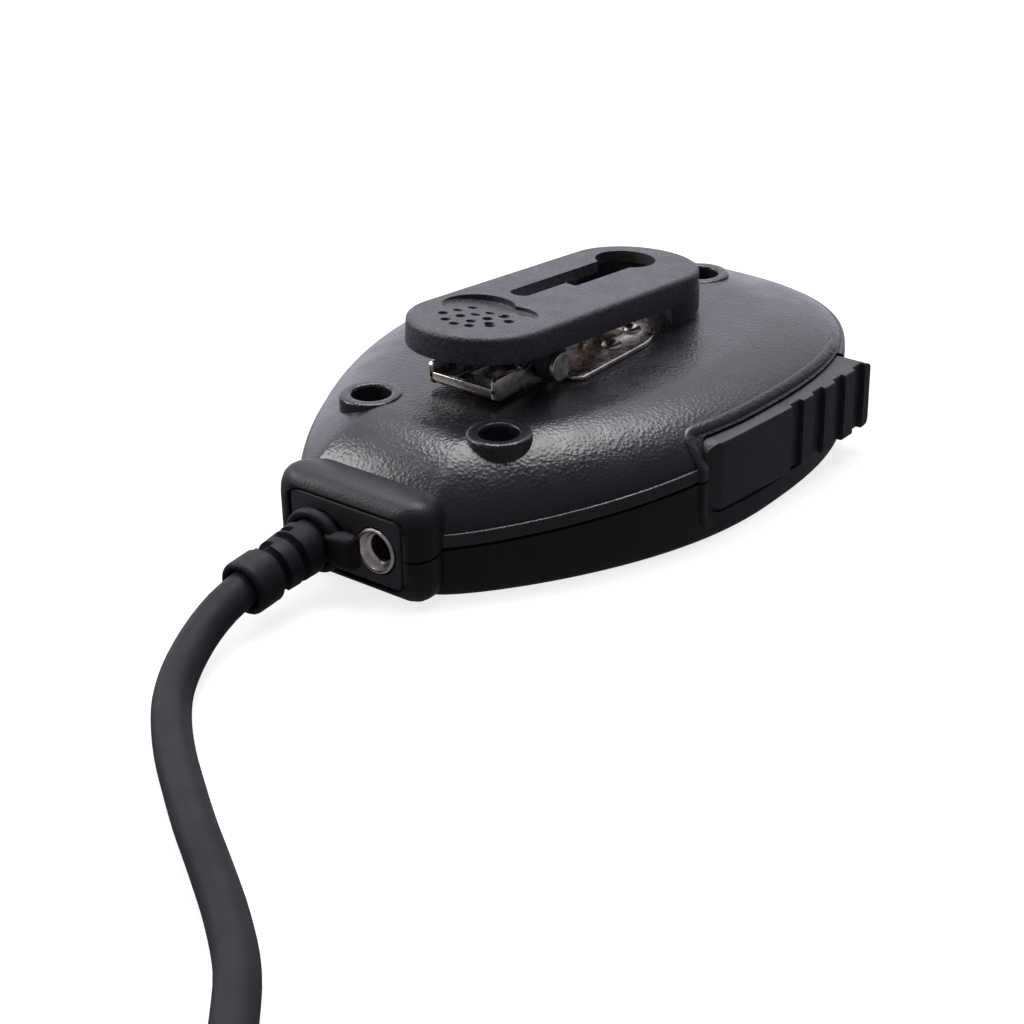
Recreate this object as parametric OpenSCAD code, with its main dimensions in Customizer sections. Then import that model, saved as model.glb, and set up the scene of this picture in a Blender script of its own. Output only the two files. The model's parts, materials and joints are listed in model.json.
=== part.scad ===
// Hand microphone for a two-way radio: loudspeaker, microphone and talk key in a two-shell
// casing with a spring clip on its back, and a lead that ends in a two-pin plug.
// It lies on its front face. +X is the talk key's side, -Y the cord end, +Z the clip side.

/* [Casing] */
// Greatest width of the casing
body_w = 63; // [61:0.5:65]
// Height of the flat back above the front face
body_h = 17.4; // [17:0.1:18]
// Y of the cord end's outer face
near_y = -45; // [-46:0.5:-44.5]
// Y of the rounded far end
far_y = 45; // [44:0.5:47]
// Y where the casing is widest
wide_y = 4; // [2:0.5:8]
// Wall thickness of both shells
wall = 1.6; // [1.5:0.1:1.8]
// Height of the seam at the middle of the casing
seam_h = 9.6; // [9.2:0.1:10]
// Rise of the seam for each millimetre towards the far end
seam_slope = 0.07; // [0.05:0.01:0.08]
// Height of the plain band between the seam and the soft shoulder
band_h = 1.9; // [1.5:0.1:2.2]
// Width of the soft shoulder around the back
shoulder_run = 11.5; // [10:0.5:12]

/* [Case screws] */
// Distance of the two near screws from the middle plane
screw_x = 10.65; // [10:0.05:11]
// Y of the two near screws
screw_near_y = -27; // [-28:0.5:-26]
// Y of the single far screw
screw_far_y = 35; // [34:0.5:36]
// Radius of the deep holes over the screw heads
screw_hole_r = 2.6; // [2.5:0.05:2.8]

/* [Talk key] */
// Near end of the key
key_y0 = -8; // [-8.5:0.5:-7.5]
// Far end of the key
key_y1 = 29.5; // [29:0.5:30]
// Lower edge of the key
key_z0 = 3.6; // [3.5:0.1:4]
// Upper edge of the key
key_z1 = 13.4; // [13.2:0.1:13.8]
// Clearance around the key in its opening
key_gap = 0.4; // [0.3:0.05:0.5]

/* [Clip] */
// Length of the clip lever
lever_len = 53.6; // [50:0.2:54]
// Width of the clip lever
lever_w = 19.2; // [19:0.2:20]
// Height of the middle of the lever's top face
lever_top_z = 26; // [25.8:0.1:26.4]
// Slope of the closed lever, in degrees, falling towards the jaw
lever_tilt = 5.4; // [5:0.1:6]
// Y of the clip's hinge pin
pin_y = -11.1; // [-11.5:0.1:-10.5]
// Height of the clip's hinge pin
pin_z = 20.4; // [20.2:0.1:20.6]

/* [Cord end] */
// X of the accessory jack
jack_x = 5.1; // [5:0.1:5.4]
// Height of the accessory jack
jack_z = 6.6; // [6.4:0.1:6.8]
// Bore radius for a 3.5 mm plug
jack_bore_r = 1.8; // [1.8:0.02:1.84]
// X of the strain relief
relief_x = -3.6; // [-3.8:0.1:-3.4]
// Height of the strain relief where it leaves the casing
relief_z = 6.4; // [6.2:0.1:6.6]
// Downward slope of the strain relief, in degrees
relief_droop = 5.4; // [4:0.2:6]
// Diameter of the lead
lead_d = 4.6; // [4.4:0.1:4.8]

/* [Hidden] */

$fn = 48;

// Casing outline: half width at the cord end and the powers of its two curves.
nose_y = near_y + 4;
nose_half_w = 10.5;
nose_power = 0.78;
far_power = 2.65;
outline_steps = 14;
mid_y = (nose_y + far_y) / 2;
half_len = (far_y - nose_y) / 2;
half_w = body_w / 2;

// Seam and shoulder.
seam_gap = 0.15;
ledge_w = 0.6;
shoulder_power = 1.6;
shoulder_steps = 8;
front_edge_r = 1.2;

// Collar around the cord end, and the plate set into it.
collar_half_w = 12.3;
collar_top = 13.6;
collar_back_y = -40;
collar_r = 3;
plate_half_w = 9.2;
plate_z0 = 1.8;
plate_z1 = 11.5;
plate_y0 = -44.5;
plate_t = 2;
plate_gap = 0.15;

// Screws.
ring_r = 4.2;
ring_top = body_h + 0.2;
post_r = 3.2;
post_top = 10.2;
head_z = 12.4;
screw_places = [[-screw_x, screw_near_y], [screw_x, screw_near_y], [0, screw_far_y]];

// Board and inner parts.
board_z = 11;
board_t = 1;
board_screw_places = [[-13, 17], [13, 17]];
speaker_y = 6;
speaker_r = 18;
speaker_rim_z = wall + 0.95;
mic_x = -12.5;
mic_y = -18.5;

// Talk key hinge and switch.
key_pin_x = 28.2;
key_pin_y = -6;
key_inner_x = 27.3;
key_face = [[30.3, key_y0 + 0.6], [31.2, 2], [31.9, 10], [32.3, 18], [32.4, key_y1 - 1.5]];
groove_w = 2.6;
groove_depth = 0.7;
groove_ends = [for (i = [0:3]) 11.7 + 5.2 * i];
switch_y = 14.5;
switch_z = 8;

// Clip.
lever_skirt_h = 3.7;
lever_top_t = 1.6;
lever_wall = 1.5;
plate_steel_t = 0.7;
base_half_w = 9.7;
base_far_y = 5.8;
thumb_half_w = 5.6;
thumb_y = -21.2;
rivet_r = 2;
spring_wire_r = 0.35;
spring_r = 1.7;
spring_turns = 4;

// Strain relief and lead.
relief_len = 15.4;
relief_root_y = plate_y0;
stub_y = -46.7;
lead_r = lead_d / 2;

// Wound spare lead: two layers of flat spiral, resting on its tie.
tie_t = 0.5;
tie_angle = 215;
coil_x = 53;
coil_y = -165;
coil_outer_r = 29;
coil_inner_r = 20.2;
coil_layer_z = tie_t + lead_r;

// Route of the lead from the strain relief to the coil, and from the coil to the plug.
lead_route = [[-3.6, -60.1, 4.9], [-3.2, -63.5, 4.4], [-2.2, -67.5, 3.7], [-0.6, -71.5, 3.1],
    [1.6, -75.6, 2.6], [4.6, -79.7, 2.3], [8.7, -83.8, 2.3], [13.2, -87.6, 2.3], [17.8, -91, 2.3],
    [24, -95.4, 2.3], [31, -100, 2.3], [38, -104.8, 2.3], [44.4, -110, 2.3], [49.9, -116.2, 2.3],
    [55, -122.2, 2.3], [60, -128.2, 2.3], [65.1, -134.3, 2.3], [70.1, -140.3, 2.5],
    [75.2, -146.3, coil_layer_z]];
tail_route = [[48, -136.4, 7.4], [53, -135.8, 7.7], [58.1, -136.2, 8.6], [63, -137.5, 9.9],
    [67.7, -139.6, 11.4], [71.1, -141.8, 12.5], [75, -145.9, 14], [77.6, -151.2, 14.8],
    [78.4, -156.6, 14.95]];

// Plug, lying flat on the coil. Its own X axis runs along its boot, which starts at its origin.
plug_place = [78.4, -169.2, 9.75];
plug_turn = 90;
plug_len = 24;
plug_y0 = -6.6;
plug_y1 = 7;
plug_h = 10.6;
plug_z = 5.2;
pin_large_x = -6;
pin_small_x = -17.2;
pin_large_r = 1.75;
pin_small_r = 1.25;
pin_root_step = 0.45;

// ---------- Curves ----------

function half_width(y) = y < wide_y
    ? nose_half_w + (half_w - nose_half_w)
        * pow(sin(90 * max(0, y - nose_y) / (wide_y - nose_y)), nose_power)
    : half_w * pow(max(0, 1 - pow((y - wide_y) / (far_y - wide_y), far_power)), 1 / far_power);

function near_y_at(i) = nose_y + (wide_y - nose_y) * pow(i / outline_steps, 1.4);
function far_y_at(i) = wide_y + (far_y - wide_y) * pow(sin(90 * i / outline_steps), 2 / far_power);

right_side = concat(
    [for (i = [0:outline_steps]) [half_width(near_y_at(i)), near_y_at(i)]],
    [for (i = [1:outline_steps - 1]) [half_width(far_y_at(i)), far_y_at(i)]]);
last_side = len(right_side) - 1;
outline = concat(right_side, [[0, far_y]], [for (i = [last_side:-1:0]) [-right_side[i].x, right_side[i].y]]);

// Outline drawn in by a distance, by scaling about the middle of the casing.
function inset(d) = [for (p = outline)
    [p.x * (1 - d / half_w), mid_y + (p.y - mid_y) * (1 - d / half_len)]];

function seam_z(y) = seam_h + seam_slope * y;
function band_z(y) = seam_z(y) + band_h;
function rise(t) = pow(1 - pow(1 - t, shoulder_power), 1 / shoulder_power);

function flat_ring(d, z) = [for (p = inset(d)) [p.x, p.y, z]];
function seam_ring(d, dz) = [for (p = inset(d)) [p.x, p.y, seam_z(p.y) + dz]];
function shoulder_ring(t, shift) = [for (p = inset(ledge_w + shoulder_run * t + shift))
    [p.x, p.y, band_z(p.y) + (body_h - band_z(p.y)) * rise(t) - shift]];

function flat(lists) = [for (l = lists) each l];
function unit(v) = v / norm(v);

// ---------- Shared shapes ----------

// Closed solid through a list of rings with equal numbers of points, capped at both ends.
module ring_solid(rings) {
    n = len(rings[0]);
    m = len(rings);
    sides = flat([for (j = [0:m - 2]) flat([for (i = [0:n - 1])
        let (a = j * n + i, b = j * n + (i + 1) % n)
        [[a, b, a + n], [b, b + n, a + n]]])]);
    first = [for (i = [n - 1:-1:0]) i];
    last = [for (i = [0:n - 1]) (m - 1) * n + i];
    polyhedron(points = flat(rings), faces = concat([first], sides, [last]));
}

// Round bar swept along a route; ref is any direction that the route never points in.
module sweep(route, r, sides, ref) {
    last = len(route) - 1;
    ring_solid([for (i = [0:last])
        let (t = unit(route[min(i + 1, last)] - route[max(i - 1, 0)]),
            u = unit(cross(ref, t)), v = cross(t, u))
        [for (k = [0:sides - 1]) let (a = -360 * k / sides) route[i] + r * (cos(a) * u + sin(a) * v)]]);
}

// Rectangle with round corners, centred, with true arcs.
module rounded_rect(w, h, r) {
    square([w - 2 * r, h], center = true);
    square([w, h - 2 * r], center = true);
    for (sx = [-1, 1], sy = [-1, 1])
        translate([sx * (w / 2 - r), sy * (h / 2 - r)]) circle(r);
}

// Strip with round ends along Y.
module stadium(length, w) {
    square([w, length - w], center = true);
    for (s = [-1, 1]) translate([0, s * (length - w) / 2]) circle(w / 2);
}

// Upright cylinder at a place, between two heights.
module post(x, y, z0, z1, r) {
    translate([x, y, z0]) cylinder(h = z1 - z0, r = r);
}

// Cylinder along -Y from a place.
module rod_near(x, y, z, h, r) {
    translate([x, y, z]) rotate([90, 0, 0]) cylinder(h = h, r = r);
}

// Cylinder along +X from a place.
module rod_side(x, y, z, h, r) {
    translate([x, y, z]) rotate([0, 90, 0]) cylinder(h = h, r = r);
}

// Box between two corners.
module block(a, b) {
    translate(a) cube(b - a);
}

// ---------- Casing ----------

rear_outer = concat(
    [seam_ring(0, seam_gap), seam_ring(0.1, band_h)],
    [for (i = [0:shoulder_steps]) shoulder_ring(i / shoulder_steps, 0)]);

module rear_skin() {
    inner = concat(
        [seam_ring(wall, seam_gap)],
        [for (i = [0:shoulder_steps]) shoulder_ring(i / shoulder_steps, wall * 0.8)]);
    last = len(rear_outer) - 1;
    ring_solid(concat([for (i = [last:-1:0]) rear_outer[i]], inner));
}

module front_skin() {
    ring_solid([flat_ring(wall, wall), seam_ring(wall, -seam_gap), seam_ring(0, -seam_gap),
        flat_ring(0, front_edge_r), flat_ring(front_edge_r * 0.3, front_edge_r * 0.3),
        flat_ring(front_edge_r, 0)]);
}

// Rounded frame at the cord end that both shells share.
module collar() {
    translate([0, collar_back_y, collar_top / 2]) rotate([90, 0, 0])
        linear_extrude(collar_back_y - near_y) rounded_rect(2 * collar_half_w, collar_top, collar_r);
}

// Opening through the collar and the nose, where the end plate sits.
module collar_opening() {
    w = plate_half_w + plate_gap;
    block([-w, near_y - 1, plate_z0 - plate_gap], [w, nose_y + 4, plate_z1 + plate_gap]);
}

// Wedge above or below the seam, which cuts what both shells share.
module above_seam(gap) {
    reach = 60;
    rotate([90, 0, 90]) translate([0, 0, -reach]) linear_extrude(2 * reach)
        polygon([[-reach, seam_z(-reach) + gap], [reach, seam_z(reach) + gap], [reach, 60], [-reach, 60]]);
}

module key_opening() {
    block([24.6, key_y0 - key_gap, key_z0 - key_gap], [40, key_y1 + key_gap, key_z1 + key_gap]);
}

// Thick wall under the shoulder above the talk key, and a raised pad at the key's cord end.
module key_rim() {
    last = len(rear_outer) - 1;
    intersection() {
        block([24.2, key_y0 - 1.8, 12.2], [34, key_y1 + 2.4, body_h]);
        ring_solid([for (i = [last:-1:0]) rear_outer[i]]);
    }
    block([25, key_y0 - 1.8, 11.4], [29.2, key_y0, key_z1 + 0.9]);
    block([25, key_y0, 11.4], [29.4, 2, 15]);
}

// Slope cut into the shoulder, which runs down to the top of the talk key's opening.
module key_recess() {
    floor_z = key_z1 + 0.3;
    translate([0, key_y1 + 2.4, 0]) rotate([90, 0, 0]) linear_extrude(key_y1 + 2.4 - key_y0)
        polygon([[27.7, 20], [27.7, 15], [29.4, floor_z], [45, floor_z], [45, 20]]);
}

module rear_shell() {
    color("#17171a") difference() {
        union() {
            rear_skin();
            intersection() {
                collar();
                above_seam(seam_gap);
            }
            for (p = screw_places) post(p.x, p.y, post_top + 0.3, ring_top, ring_r);
            for (p = board_screw_places) post(p.x, p.y, board_z + board_t, body_h - 1, 2.4);
            key_rim();
        }
        collar_opening();
        key_opening();
        key_recess();
        for (p = screw_places) {
            post(p.x, p.y, head_z, ring_top + 1, screw_hole_r);
            post(p.x, p.y, post_top, head_z + 1, 1.5);
        }
        for (p = board_screw_places) post(p.x, p.y, board_z, 15, 0.8);
        post(0, 0, 10, body_h + 1, rivet_r + 0.05);
        post(key_pin_x, key_pin_y, key_z1, 14.4, 0.8);
    }
}

module front_shell() {
    slot_count = 7;
    color("#1b1b1e") difference() {
        union() {
            front_skin();
            difference() {
                collar();
                above_seam(-seam_gap);
            }
            for (p = screw_places) post(p.x, p.y, wall / 2, post_top, post_r);
            post(key_pin_x, key_pin_y, wall / 2, key_z0 - key_gap, 1.8);
            difference() {
                post(0, speaker_y, wall / 2, 4, speaker_r + 1.2);
                post(0, speaker_y, -1, 5, speaker_r + 0.1);
            }
            difference() {
                post(mic_x, mic_y, wall / 2, 5, 5.2);
                post(mic_x, mic_y, -1, 6, 4.2);
            }
        }
        collar_opening();
        key_opening();
        for (p = screw_places) post(p.x, p.y, 3.6, post_top + 1, 1.32);
        post(key_pin_x, key_pin_y, 1.6, 5, 0.8);
        for (i = [0:slot_count - 1])
            let (y = (i - (slot_count - 1) / 2) * 4, l = 2 * sqrt(pow(speaker_r - 3, 2) - y * y))
            translate([0, speaker_y + y, -1]) linear_extrude(wall + 2) rotate(90) stadium(l, 1.8);
        post(mic_x, mic_y, -1, wall + 1, 0.8);
    }
}

module end_plate() {
    color("#202023") difference() {
        translate([0, plate_y0 + plate_t, (plate_z0 + plate_z1) / 2]) rotate([90, 0, 0])
            linear_extrude(plate_t) rounded_rect(2 * plate_half_w, plate_z1 - plate_z0, 1);
        rod_near(jack_x, 0, jack_z, 60, 2.65);
        rod_near(relief_x, 0, relief_z, 60, 3.3);
    }
}

module case_screws() {
    color("silver") for (p = screw_places) difference() {
        union() {
            post(p.x, p.y, head_z, head_z + 1.6, 2.3);
            post(p.x, p.y, 4, head_z, 1.3);
        }
        for (a = [0, 90]) translate([p.x, p.y, head_z + 1.6]) rotate(a) cube([2.4, 0.5, 1.6], center = true);
    }
}

module grille_cloth() {
    color("#050505") post(0, speaker_y, wall, wall + 0.2, speaker_r - 0.4);
}

// ---------- Talk key and its switch ----------

module talk_key() {
    color("#1d1d20") difference() {
        union() {
            translate([0, 0, key_z0]) linear_extrude(key_z1 - key_z0)
                polygon(concat([[key_inner_x, key_y0]], [[29.6, key_y0]], key_face,
                    [[31.2, key_y1], [key_inner_x, key_y1]]));
            block([26.4, switch_y - 1.5, switch_z - 1.5], [key_inner_x + 1, switch_y + 1.5, switch_z + 1.5]);
        }
        for (y = groove_ends)
            let (x = lookup(y, [for (p = key_face) [p.y, p.x]]) - groove_depth)
            block([x, y - groove_w, key_z0 - 1], [x + 5, y, key_z1 + 1]);
        translate([34.2, (key_y0 + key_y1) / 2, key_z1 + 0.4]) rotate([0, 45, 0])
            cube([3.6, 60, 3.6], center = true);
        post(key_pin_x, key_pin_y, 0, 20, 0.75);
    }
}

module key_pin() {
    color("silver") post(key_pin_x, key_pin_y, 1.8, 14.2, 0.7);
}

module key_seal() {
    color("#0c0c0c") block([24.8, key_y0 + 3, key_z0 + 0.4], [25.4, key_y1 - 1, key_z1 - 0.4]);
}

module switch_body() {
    color("#2a2a2c") difference() {
        block([15, switch_y - 6.4, switch_z - 3], [22.6, switch_y + 6.4, board_z]);
        rod_side(20, switch_y, switch_z, 5, 1.05);
    }
}

module switch_plunger() {
    color("#b03020") rod_side(21.2, switch_y, switch_z, 3.3, 1);
}

// ---------- Clip ----------

module clip_base() {
    floor_z = body_h + 0.6;
    color("#c9c6bd") difference() {
        union() {
            translate([0, 0, body_h]) linear_extrude(plate_steel_t) {
                translate([0, base_far_y]) circle(base_half_w);
                translate([-base_half_w, -8.6]) square([2 * base_half_w, base_far_y + 8.6]);
            }
            block([-thumb_half_w, thumb_y, floor_z], [thumb_half_w, -8, floor_z + plate_steel_t]);
            block([-thumb_half_w, thumb_y, floor_z], [thumb_half_w, thumb_y + plate_steel_t, 19.8]);
            for (s = [-1, 1]) {
                translate([s * (thumb_half_w - 0.4) - 0.4, 0, 0]) rotate([90, 0, 90]) linear_extrude(0.8)
                    polygon([[thumb_y, floor_z], [-8, floor_z], [-9, pin_z], [-13.2, pin_z],
                        [-16.4, 21], [thumb_y, 21.2]]);
                rod_side(s * (thumb_half_w - 0.4) - 0.4, pin_y, pin_z, 0.8, 2.1);
            }
            for (p = [[5.2, 9.6], [6.4, 3.4]], s = [-1, 1])
                translate([s * p.x, p.y, body_h + plate_steel_t - 0.05])
                cylinder(h = 0.45, r1 = 1.3, r2 = 0.7);
        }
        block([-4.2, -16.6, body_h - 1], [4.2, -8.2, 20]);
        rod_side(-10, pin_y, pin_z, 20, 1);
        post(0, 0, body_h - 1, 20, rivet_r);
    }
}

// Drawn level about its own middle, then tilted to its closed place.
module lever_place() {
    translate([0, 0, lever_top_z]) rotate([-lever_tilt, 0, 0]) children();
}

module keyhole() {
    slot_x0 = -4;
    slot_x1 = -0.7;
    wide_x1 = 1;
    hole = [-1.9, 18.4];
    translate([(slot_x0 + slot_x1) / 2, -5]) circle((slot_x1 - slot_x0) / 2);
    translate([slot_x0, -5]) square([slot_x1 - slot_x0, hole.y + 5]);
    translate([slot_x0, 2.6]) square([wide_x1 - slot_x0, hole.y - 2.6]);
    translate(hole) circle(4.3);
}

module clip_lever() {
    hook_y = 14;
    end_y = (lever_len - lever_w) / 2;
    color("#1e1f22") difference() {
        union() {
            lever_place() difference() {
                translate([0, 0, -lever_skirt_h]) linear_extrude(lever_skirt_h) stadium(lever_len, lever_w);
                translate([0, 0, -lever_skirt_h - 1]) linear_extrude(lever_skirt_h + 1 - lever_top_t)
                    stadium(lever_len - 2 * lever_wall, lever_w - 2 * lever_wall);
            }
            for (x = [-7.8, 5.9]) {
                block([x, pin_y - 2.1, pin_z], [x + 1.9, pin_y + 2.1, 25.8]);
                rod_side(x, pin_y, pin_z, 1.9, 2.1);
            }
            difference() {
                post(0, end_y, 17.95, 21.4, lever_w / 2);
                post(0, end_y, 17, 22, lever_w / 2 - lever_wall);
                block([-20, -20, 10], [20, hook_y, 30]);
            }
        }
        lever_place() translate([0, 0, -2 * lever_top_t]) linear_extrude(4 * lever_top_t) keyhole();
        rod_side(-10, pin_y, pin_z, 20, 1.05);
    }
}

module clip_pin() {
    color("#d8d6cf") {
        rod_side(-8.6, pin_y, pin_z, 17, 1);
        rod_side(7.9, pin_y, pin_z, 0.8, 1.95);
        rod_side(-8.7, pin_y, pin_z, 0.8, 1.5);
    }
}

module clip_spring() {
    steps_per_turn = 14;
    end_angle = 67 + 360 * spring_turns;
    count = round((end_angle + 90) / 360 * steps_per_turn);
    coil = [for (i = [0:count]) let (a = -90 + (end_angle + 90) * i / count)
        [-2.6 + 5.2 * i / count, pin_y + spring_r * cos(a), pin_z + spring_r * sin(a)]];
    color("#b9b7b0") sweep(concat([[-2.6, -19.6, 19.25]], coil, [[2.6, -19.4, 25.6]]),
        spring_wire_r, 6, [1, 0, 0]);
}

module clip_tongue() {
    color("#cfccc4") rotate([90, 0, 90]) translate([0, 0, -3.4]) linear_extrude(7.4)
        polygon([[-7.4, 24.4], [-7.4, 25], [-5, 24.75], [8, 19.4], [10.4, 19.6], [10.4, 19], [8, 18.75],
            [-5.2, 24.3]]);
}

module clip_rivet() {
    color("#c9c6bd") {
        post(0, 0, 14.3, body_h + plate_steel_t + 0.4, rivet_r);
        post(0, 0, body_h + plate_steel_t, body_h + plate_steel_t + 0.8, 3.2);
        post(0, 0, 13.6, 14.4, 3);
    }
}

module clip_washer() {
    color("#a8a6a0") difference() {
        post(0, 0, 14.6, 15.6, 4.6);
        post(0, 0, 14, 17, rivet_r + 0.05);
    }
}

// ---------- Jack and its cap ----------

module jack_body() {
    color("#101012") difference() {
        block([jack_x - 4.1, -42.4, 2.6], [jack_x + 4, -30.8, 10.4]);
        rod_near(jack_x, -31.3, jack_z, 20, jack_bore_r);
        for (s = [-1, 1]) block([jack_x - 0.6, -40.4, jack_z + (s > 0 ? 1.4 : -3)],
            [jack_x + 0.6, -32.4, jack_z + (s > 0 ? 3 : -1.4)]);
        block([jack_x + 1.4, -38, jack_z - 0.6], [jack_x + 3, -33, jack_z + 0.6]);
    }
}

module jack_bush() {
    color("#d4d2cb") difference() {
        union() {
            rod_near(jack_x, plate_y0, jack_z, 0.7, 3.1);
            rod_near(jack_x, -42.4, jack_z, 2.2, 2.6);
        }
        rod_near(jack_x, -40, jack_z, 10, jack_bore_r);
        translate([jack_x, plate_y0 - 0.75, jack_z]) rotate([-90, 0, 0])
            cylinder(h = 0.6, r1 = 2.4, r2 = jack_bore_r);
    }
}

module jack_contacts() {
    color("#d9c27a") {
        block([jack_x - 0.5, -40.2, jack_z + 2.2], [jack_x + 0.5, -32.6, jack_z + 2.5]);
        block([jack_x - 0.5, -40.2, jack_z - 2.5], [jack_x + 0.5, -32.6, jack_z - 2.2]);
        block([jack_x + 2.3, -37.8, jack_z - 0.5], [jack_x + 2.6, -33.2, jack_z + 0.5]);
    }
}

// Axis of the strain relief, running out of the casing.
module relief_place() {
    translate([relief_x, relief_root_y, relief_z]) rotate([90 + relief_droop, 0, 0]) children();
}

module jack_cap() {
    color("#161618") difference() {
        union() {
            relief_place() translate([0, 0, 1.1]) cylinder(h = 2.2, r = 4.7);
            translate([relief_x + 3, stub_y, relief_z + 0.2]) rotate([90, 0, 90]) linear_extrude(3.8)
                rounded_rect(2, 4.6, 0.9);
        }
        relief_place() translate([0, 0, -1]) cylinder(h = 6, r = 3.95);
    }
}

// ---------- Electronics ----------

module circuit_board() {
    color("#1f5a38") difference() {
        translate([0, 0, board_z]) linear_extrude(board_t)
            polygon([[-11, -22], [11, -22], [21, -4], [22.6, 4], [22.6, 22], [12, 29], [-12, 29], [-22.6, 22],
                [-22.6, 4], [-21, -4]]);
        for (p = board_screw_places) post(p.x, p.y, board_z - 1, board_z + 2, 1.1);
    }
}

module board_screws() {
    color("silver") for (p = board_screw_places) {
        post(p.x, p.y, board_z - 1, board_z, 1.8);
        post(p.x, p.y, board_z, 14.6, 0.8);
    }
}

module audio_chip() {
    color("#0a0a0a") block([-9, -12, board_z + board_t], [-3, -7, board_z + board_t + 1.4]);
}

module capacitors() {
    color("#555a60") for (p = [[8, -12], [14.5, -6], [-15, -2]])
        post(p.x, p.y, board_z + board_t, board_z + board_t + 1.6, 2);
}

module wire_header() {
    color("#e8e4d6") block([-6, -21.4, board_z - 3.4], [3, -18, board_z]);
}

// ---------- Loudspeaker, facing down through the grille ----------

module speaker_frame() {
    color("#8d8f92") difference() {
        union() {
            post(0, speaker_y, speaker_rim_z, speaker_rim_z + 0.7, speaker_r);
            translate([0, speaker_y, speaker_rim_z + 0.7])
                cylinder(h = wall + 4 - speaker_rim_z - 0.7, r1 = speaker_r - 1.4, r2 = 10.4);
        }
        translate([0, speaker_y, speaker_rim_z - 0.1]) cylinder(h = 2.1, r1 = speaker_r - 2, r2 = 11.2);
        post(0, speaker_y, 0, 20, 7.2);
    }
}

module speaker_yoke() {
    color("#9a9c9f") difference() {
        post(0, speaker_y, wall + 4, 10, 9.4);
        post(0, speaker_y, 0, 9, 8.2);
    }
}

module speaker_magnet() {
    color("#4a4a4e") post(0, speaker_y, wall + 5.2, 9, 5.8);
}

module speaker_pole() {
    color("#b0b2b5") post(0, speaker_y, wall + 4, wall + 5.2, 6.2);
}

module voice_coil() {
    color("#b06a35") difference() {
        post(0, speaker_y, wall + 2.5, wall + 5.6, 7);
        post(0, speaker_y, 0, 20, 6.6);
    }
}

module speaker_cone() {
    color("#2c2c2a") difference() {
        translate([0, speaker_y, speaker_rim_z]) cylinder(h = 1.5, r1 = 14.4, r2 = 7.2);
        translate([0, speaker_y, speaker_rim_z - 0.3]) cylinder(h = 1.5, r1 = 14.4, r2 = 7.2);
        post(0, speaker_y, 0, 20, 7.15);
    }
}

module speaker_dome() {
    color("#3a3a38") difference() {
        post(0, speaker_y, wall + 1.6, wall + 2.4, 7);
        post(0, speaker_y, wall + 1.9, wall + 3, 6.6);
    }
}

module speaker_surround() {
    color("#101010") difference() {
        post(0, speaker_y, wall + 0.7, speaker_rim_z, 17);
        post(0, speaker_y, 0, 20, 13.4);
    }
}

module speaker_gasket() {
    color("#303030") difference() {
        post(0, speaker_y, wall + 0.2, wall + 0.7, speaker_r - 0.2);
        post(0, speaker_y, 0, 20, speaker_r - 2);
    }
}

module speaker_wires() {
    for (x = [4, 8]) color(x > 6 ? "red" : "black")
        sweep([[x, speaker_y + 15.6, 3.6], [x, speaker_y + 16.6, 6], [x, speaker_y + 16, 9],
            [x, speaker_y + 15.4, board_z - 0.1]], 0.4, 6, [1, 0, 0]);
}

module mic_capsule() {
    color("#a9abae") post(mic_x, mic_y, 2.4, 4.8, 3);
}

module mic_boot() {
    color("#131313") difference() {
        post(mic_x, mic_y, wall, 5.4, 4.1);
        post(mic_x, mic_y, 2.4, 4.8, 3);
        post(mic_x, mic_y, 0, 3, 0.8);
        post(mic_x, mic_y, 4.6, 7, 2.4);
    }
}

// ---------- Cord ----------

module inner_cord() {
    color("#232326") sweep([[relief_x, -40, relief_z + 0.3], [relief_x, -37, relief_z],
        [relief_x + 0.2, -31, relief_z], [relief_x + 0.6, -26, relief_z + 0.6], [-2.4, -22, 8.6]],
        1.6, 8, [0, 0, 1]);
}

module cord_clamp() {
    color("#3a3a3d") difference() {
        block([relief_x - 3.6, -36, wall], [relief_x + 3.6, -32.6, 9.4]);
        rod_near(relief_x + 0.1, -30, relief_z, 8, 1.75);
    }
}

module strain_relief() {
    color("#161618") relief_place() difference() {
        union() {
            translate([0, 0, -4.1]) cylinder(h = 1.6, r = 4.2);
            translate([0, 0, -3]) cylinder(h = 4, r = 3);
            translate([0, 0, 0.4]) cylinder(h = relief_len - 0.4, r1 = 3.8, r2 = 3.15);
        }
        for (z = [5.4, 9.2]) translate([0, 0, z]) difference() {
            cylinder(h = 1, r = 6);
            cylinder(h = 1, r = 2.7);
        }
    }
}

module lead() {
    color("#222326") sweep(lead_route, lead_r, 10, [0, 0, 1]);
}

module lead_coil() {
    color("#222326") translate([coil_x, coil_y, 0]) rotate_extrude()
        translate([coil_inner_r - lead_r, tie_t])
        square([coil_outer_r - coil_inner_r + lead_d, 2 * lead_d]);
}

module coil_tie() {
    margin = 0.5;
    h = 2 * lead_d;
    inner = coil_inner_r - lead_r;
    outer = coil_outer_r + lead_r;
    color("#101010") translate([coil_x, coil_y, 0]) rotate(tie_angle) difference() {
        block([inner - margin, -2.5, 0], [outer + margin, 2.5, h + 2 * tie_t]);
        block([inner, -4, tie_t], [outer, 4, h + tie_t]);
    }
}

module lead_tail() {
    color("#222326") sweep(tail_route, lead_r, 10, [0, 0, 1]);
}

module at_plug() {
    translate(plug_place) rotate(plug_turn) children();
}

module plug_body() {
    color("#18181a") at_plug() difference() {
        translate([-plug_len / 2, plug_y1, plug_h / 2]) rotate([90, 0, 0])
            linear_extrude(plug_y1 - plug_y0) rounded_rect(plug_len, plug_h, 2.4);
        rod_near(pin_large_x, plug_y1 + 1, plug_z, 7, pin_large_r - pin_root_step);
        rod_near(pin_small_x, plug_y1 + 1, plug_z, 7, pin_small_r - pin_root_step);
    }
}

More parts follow.
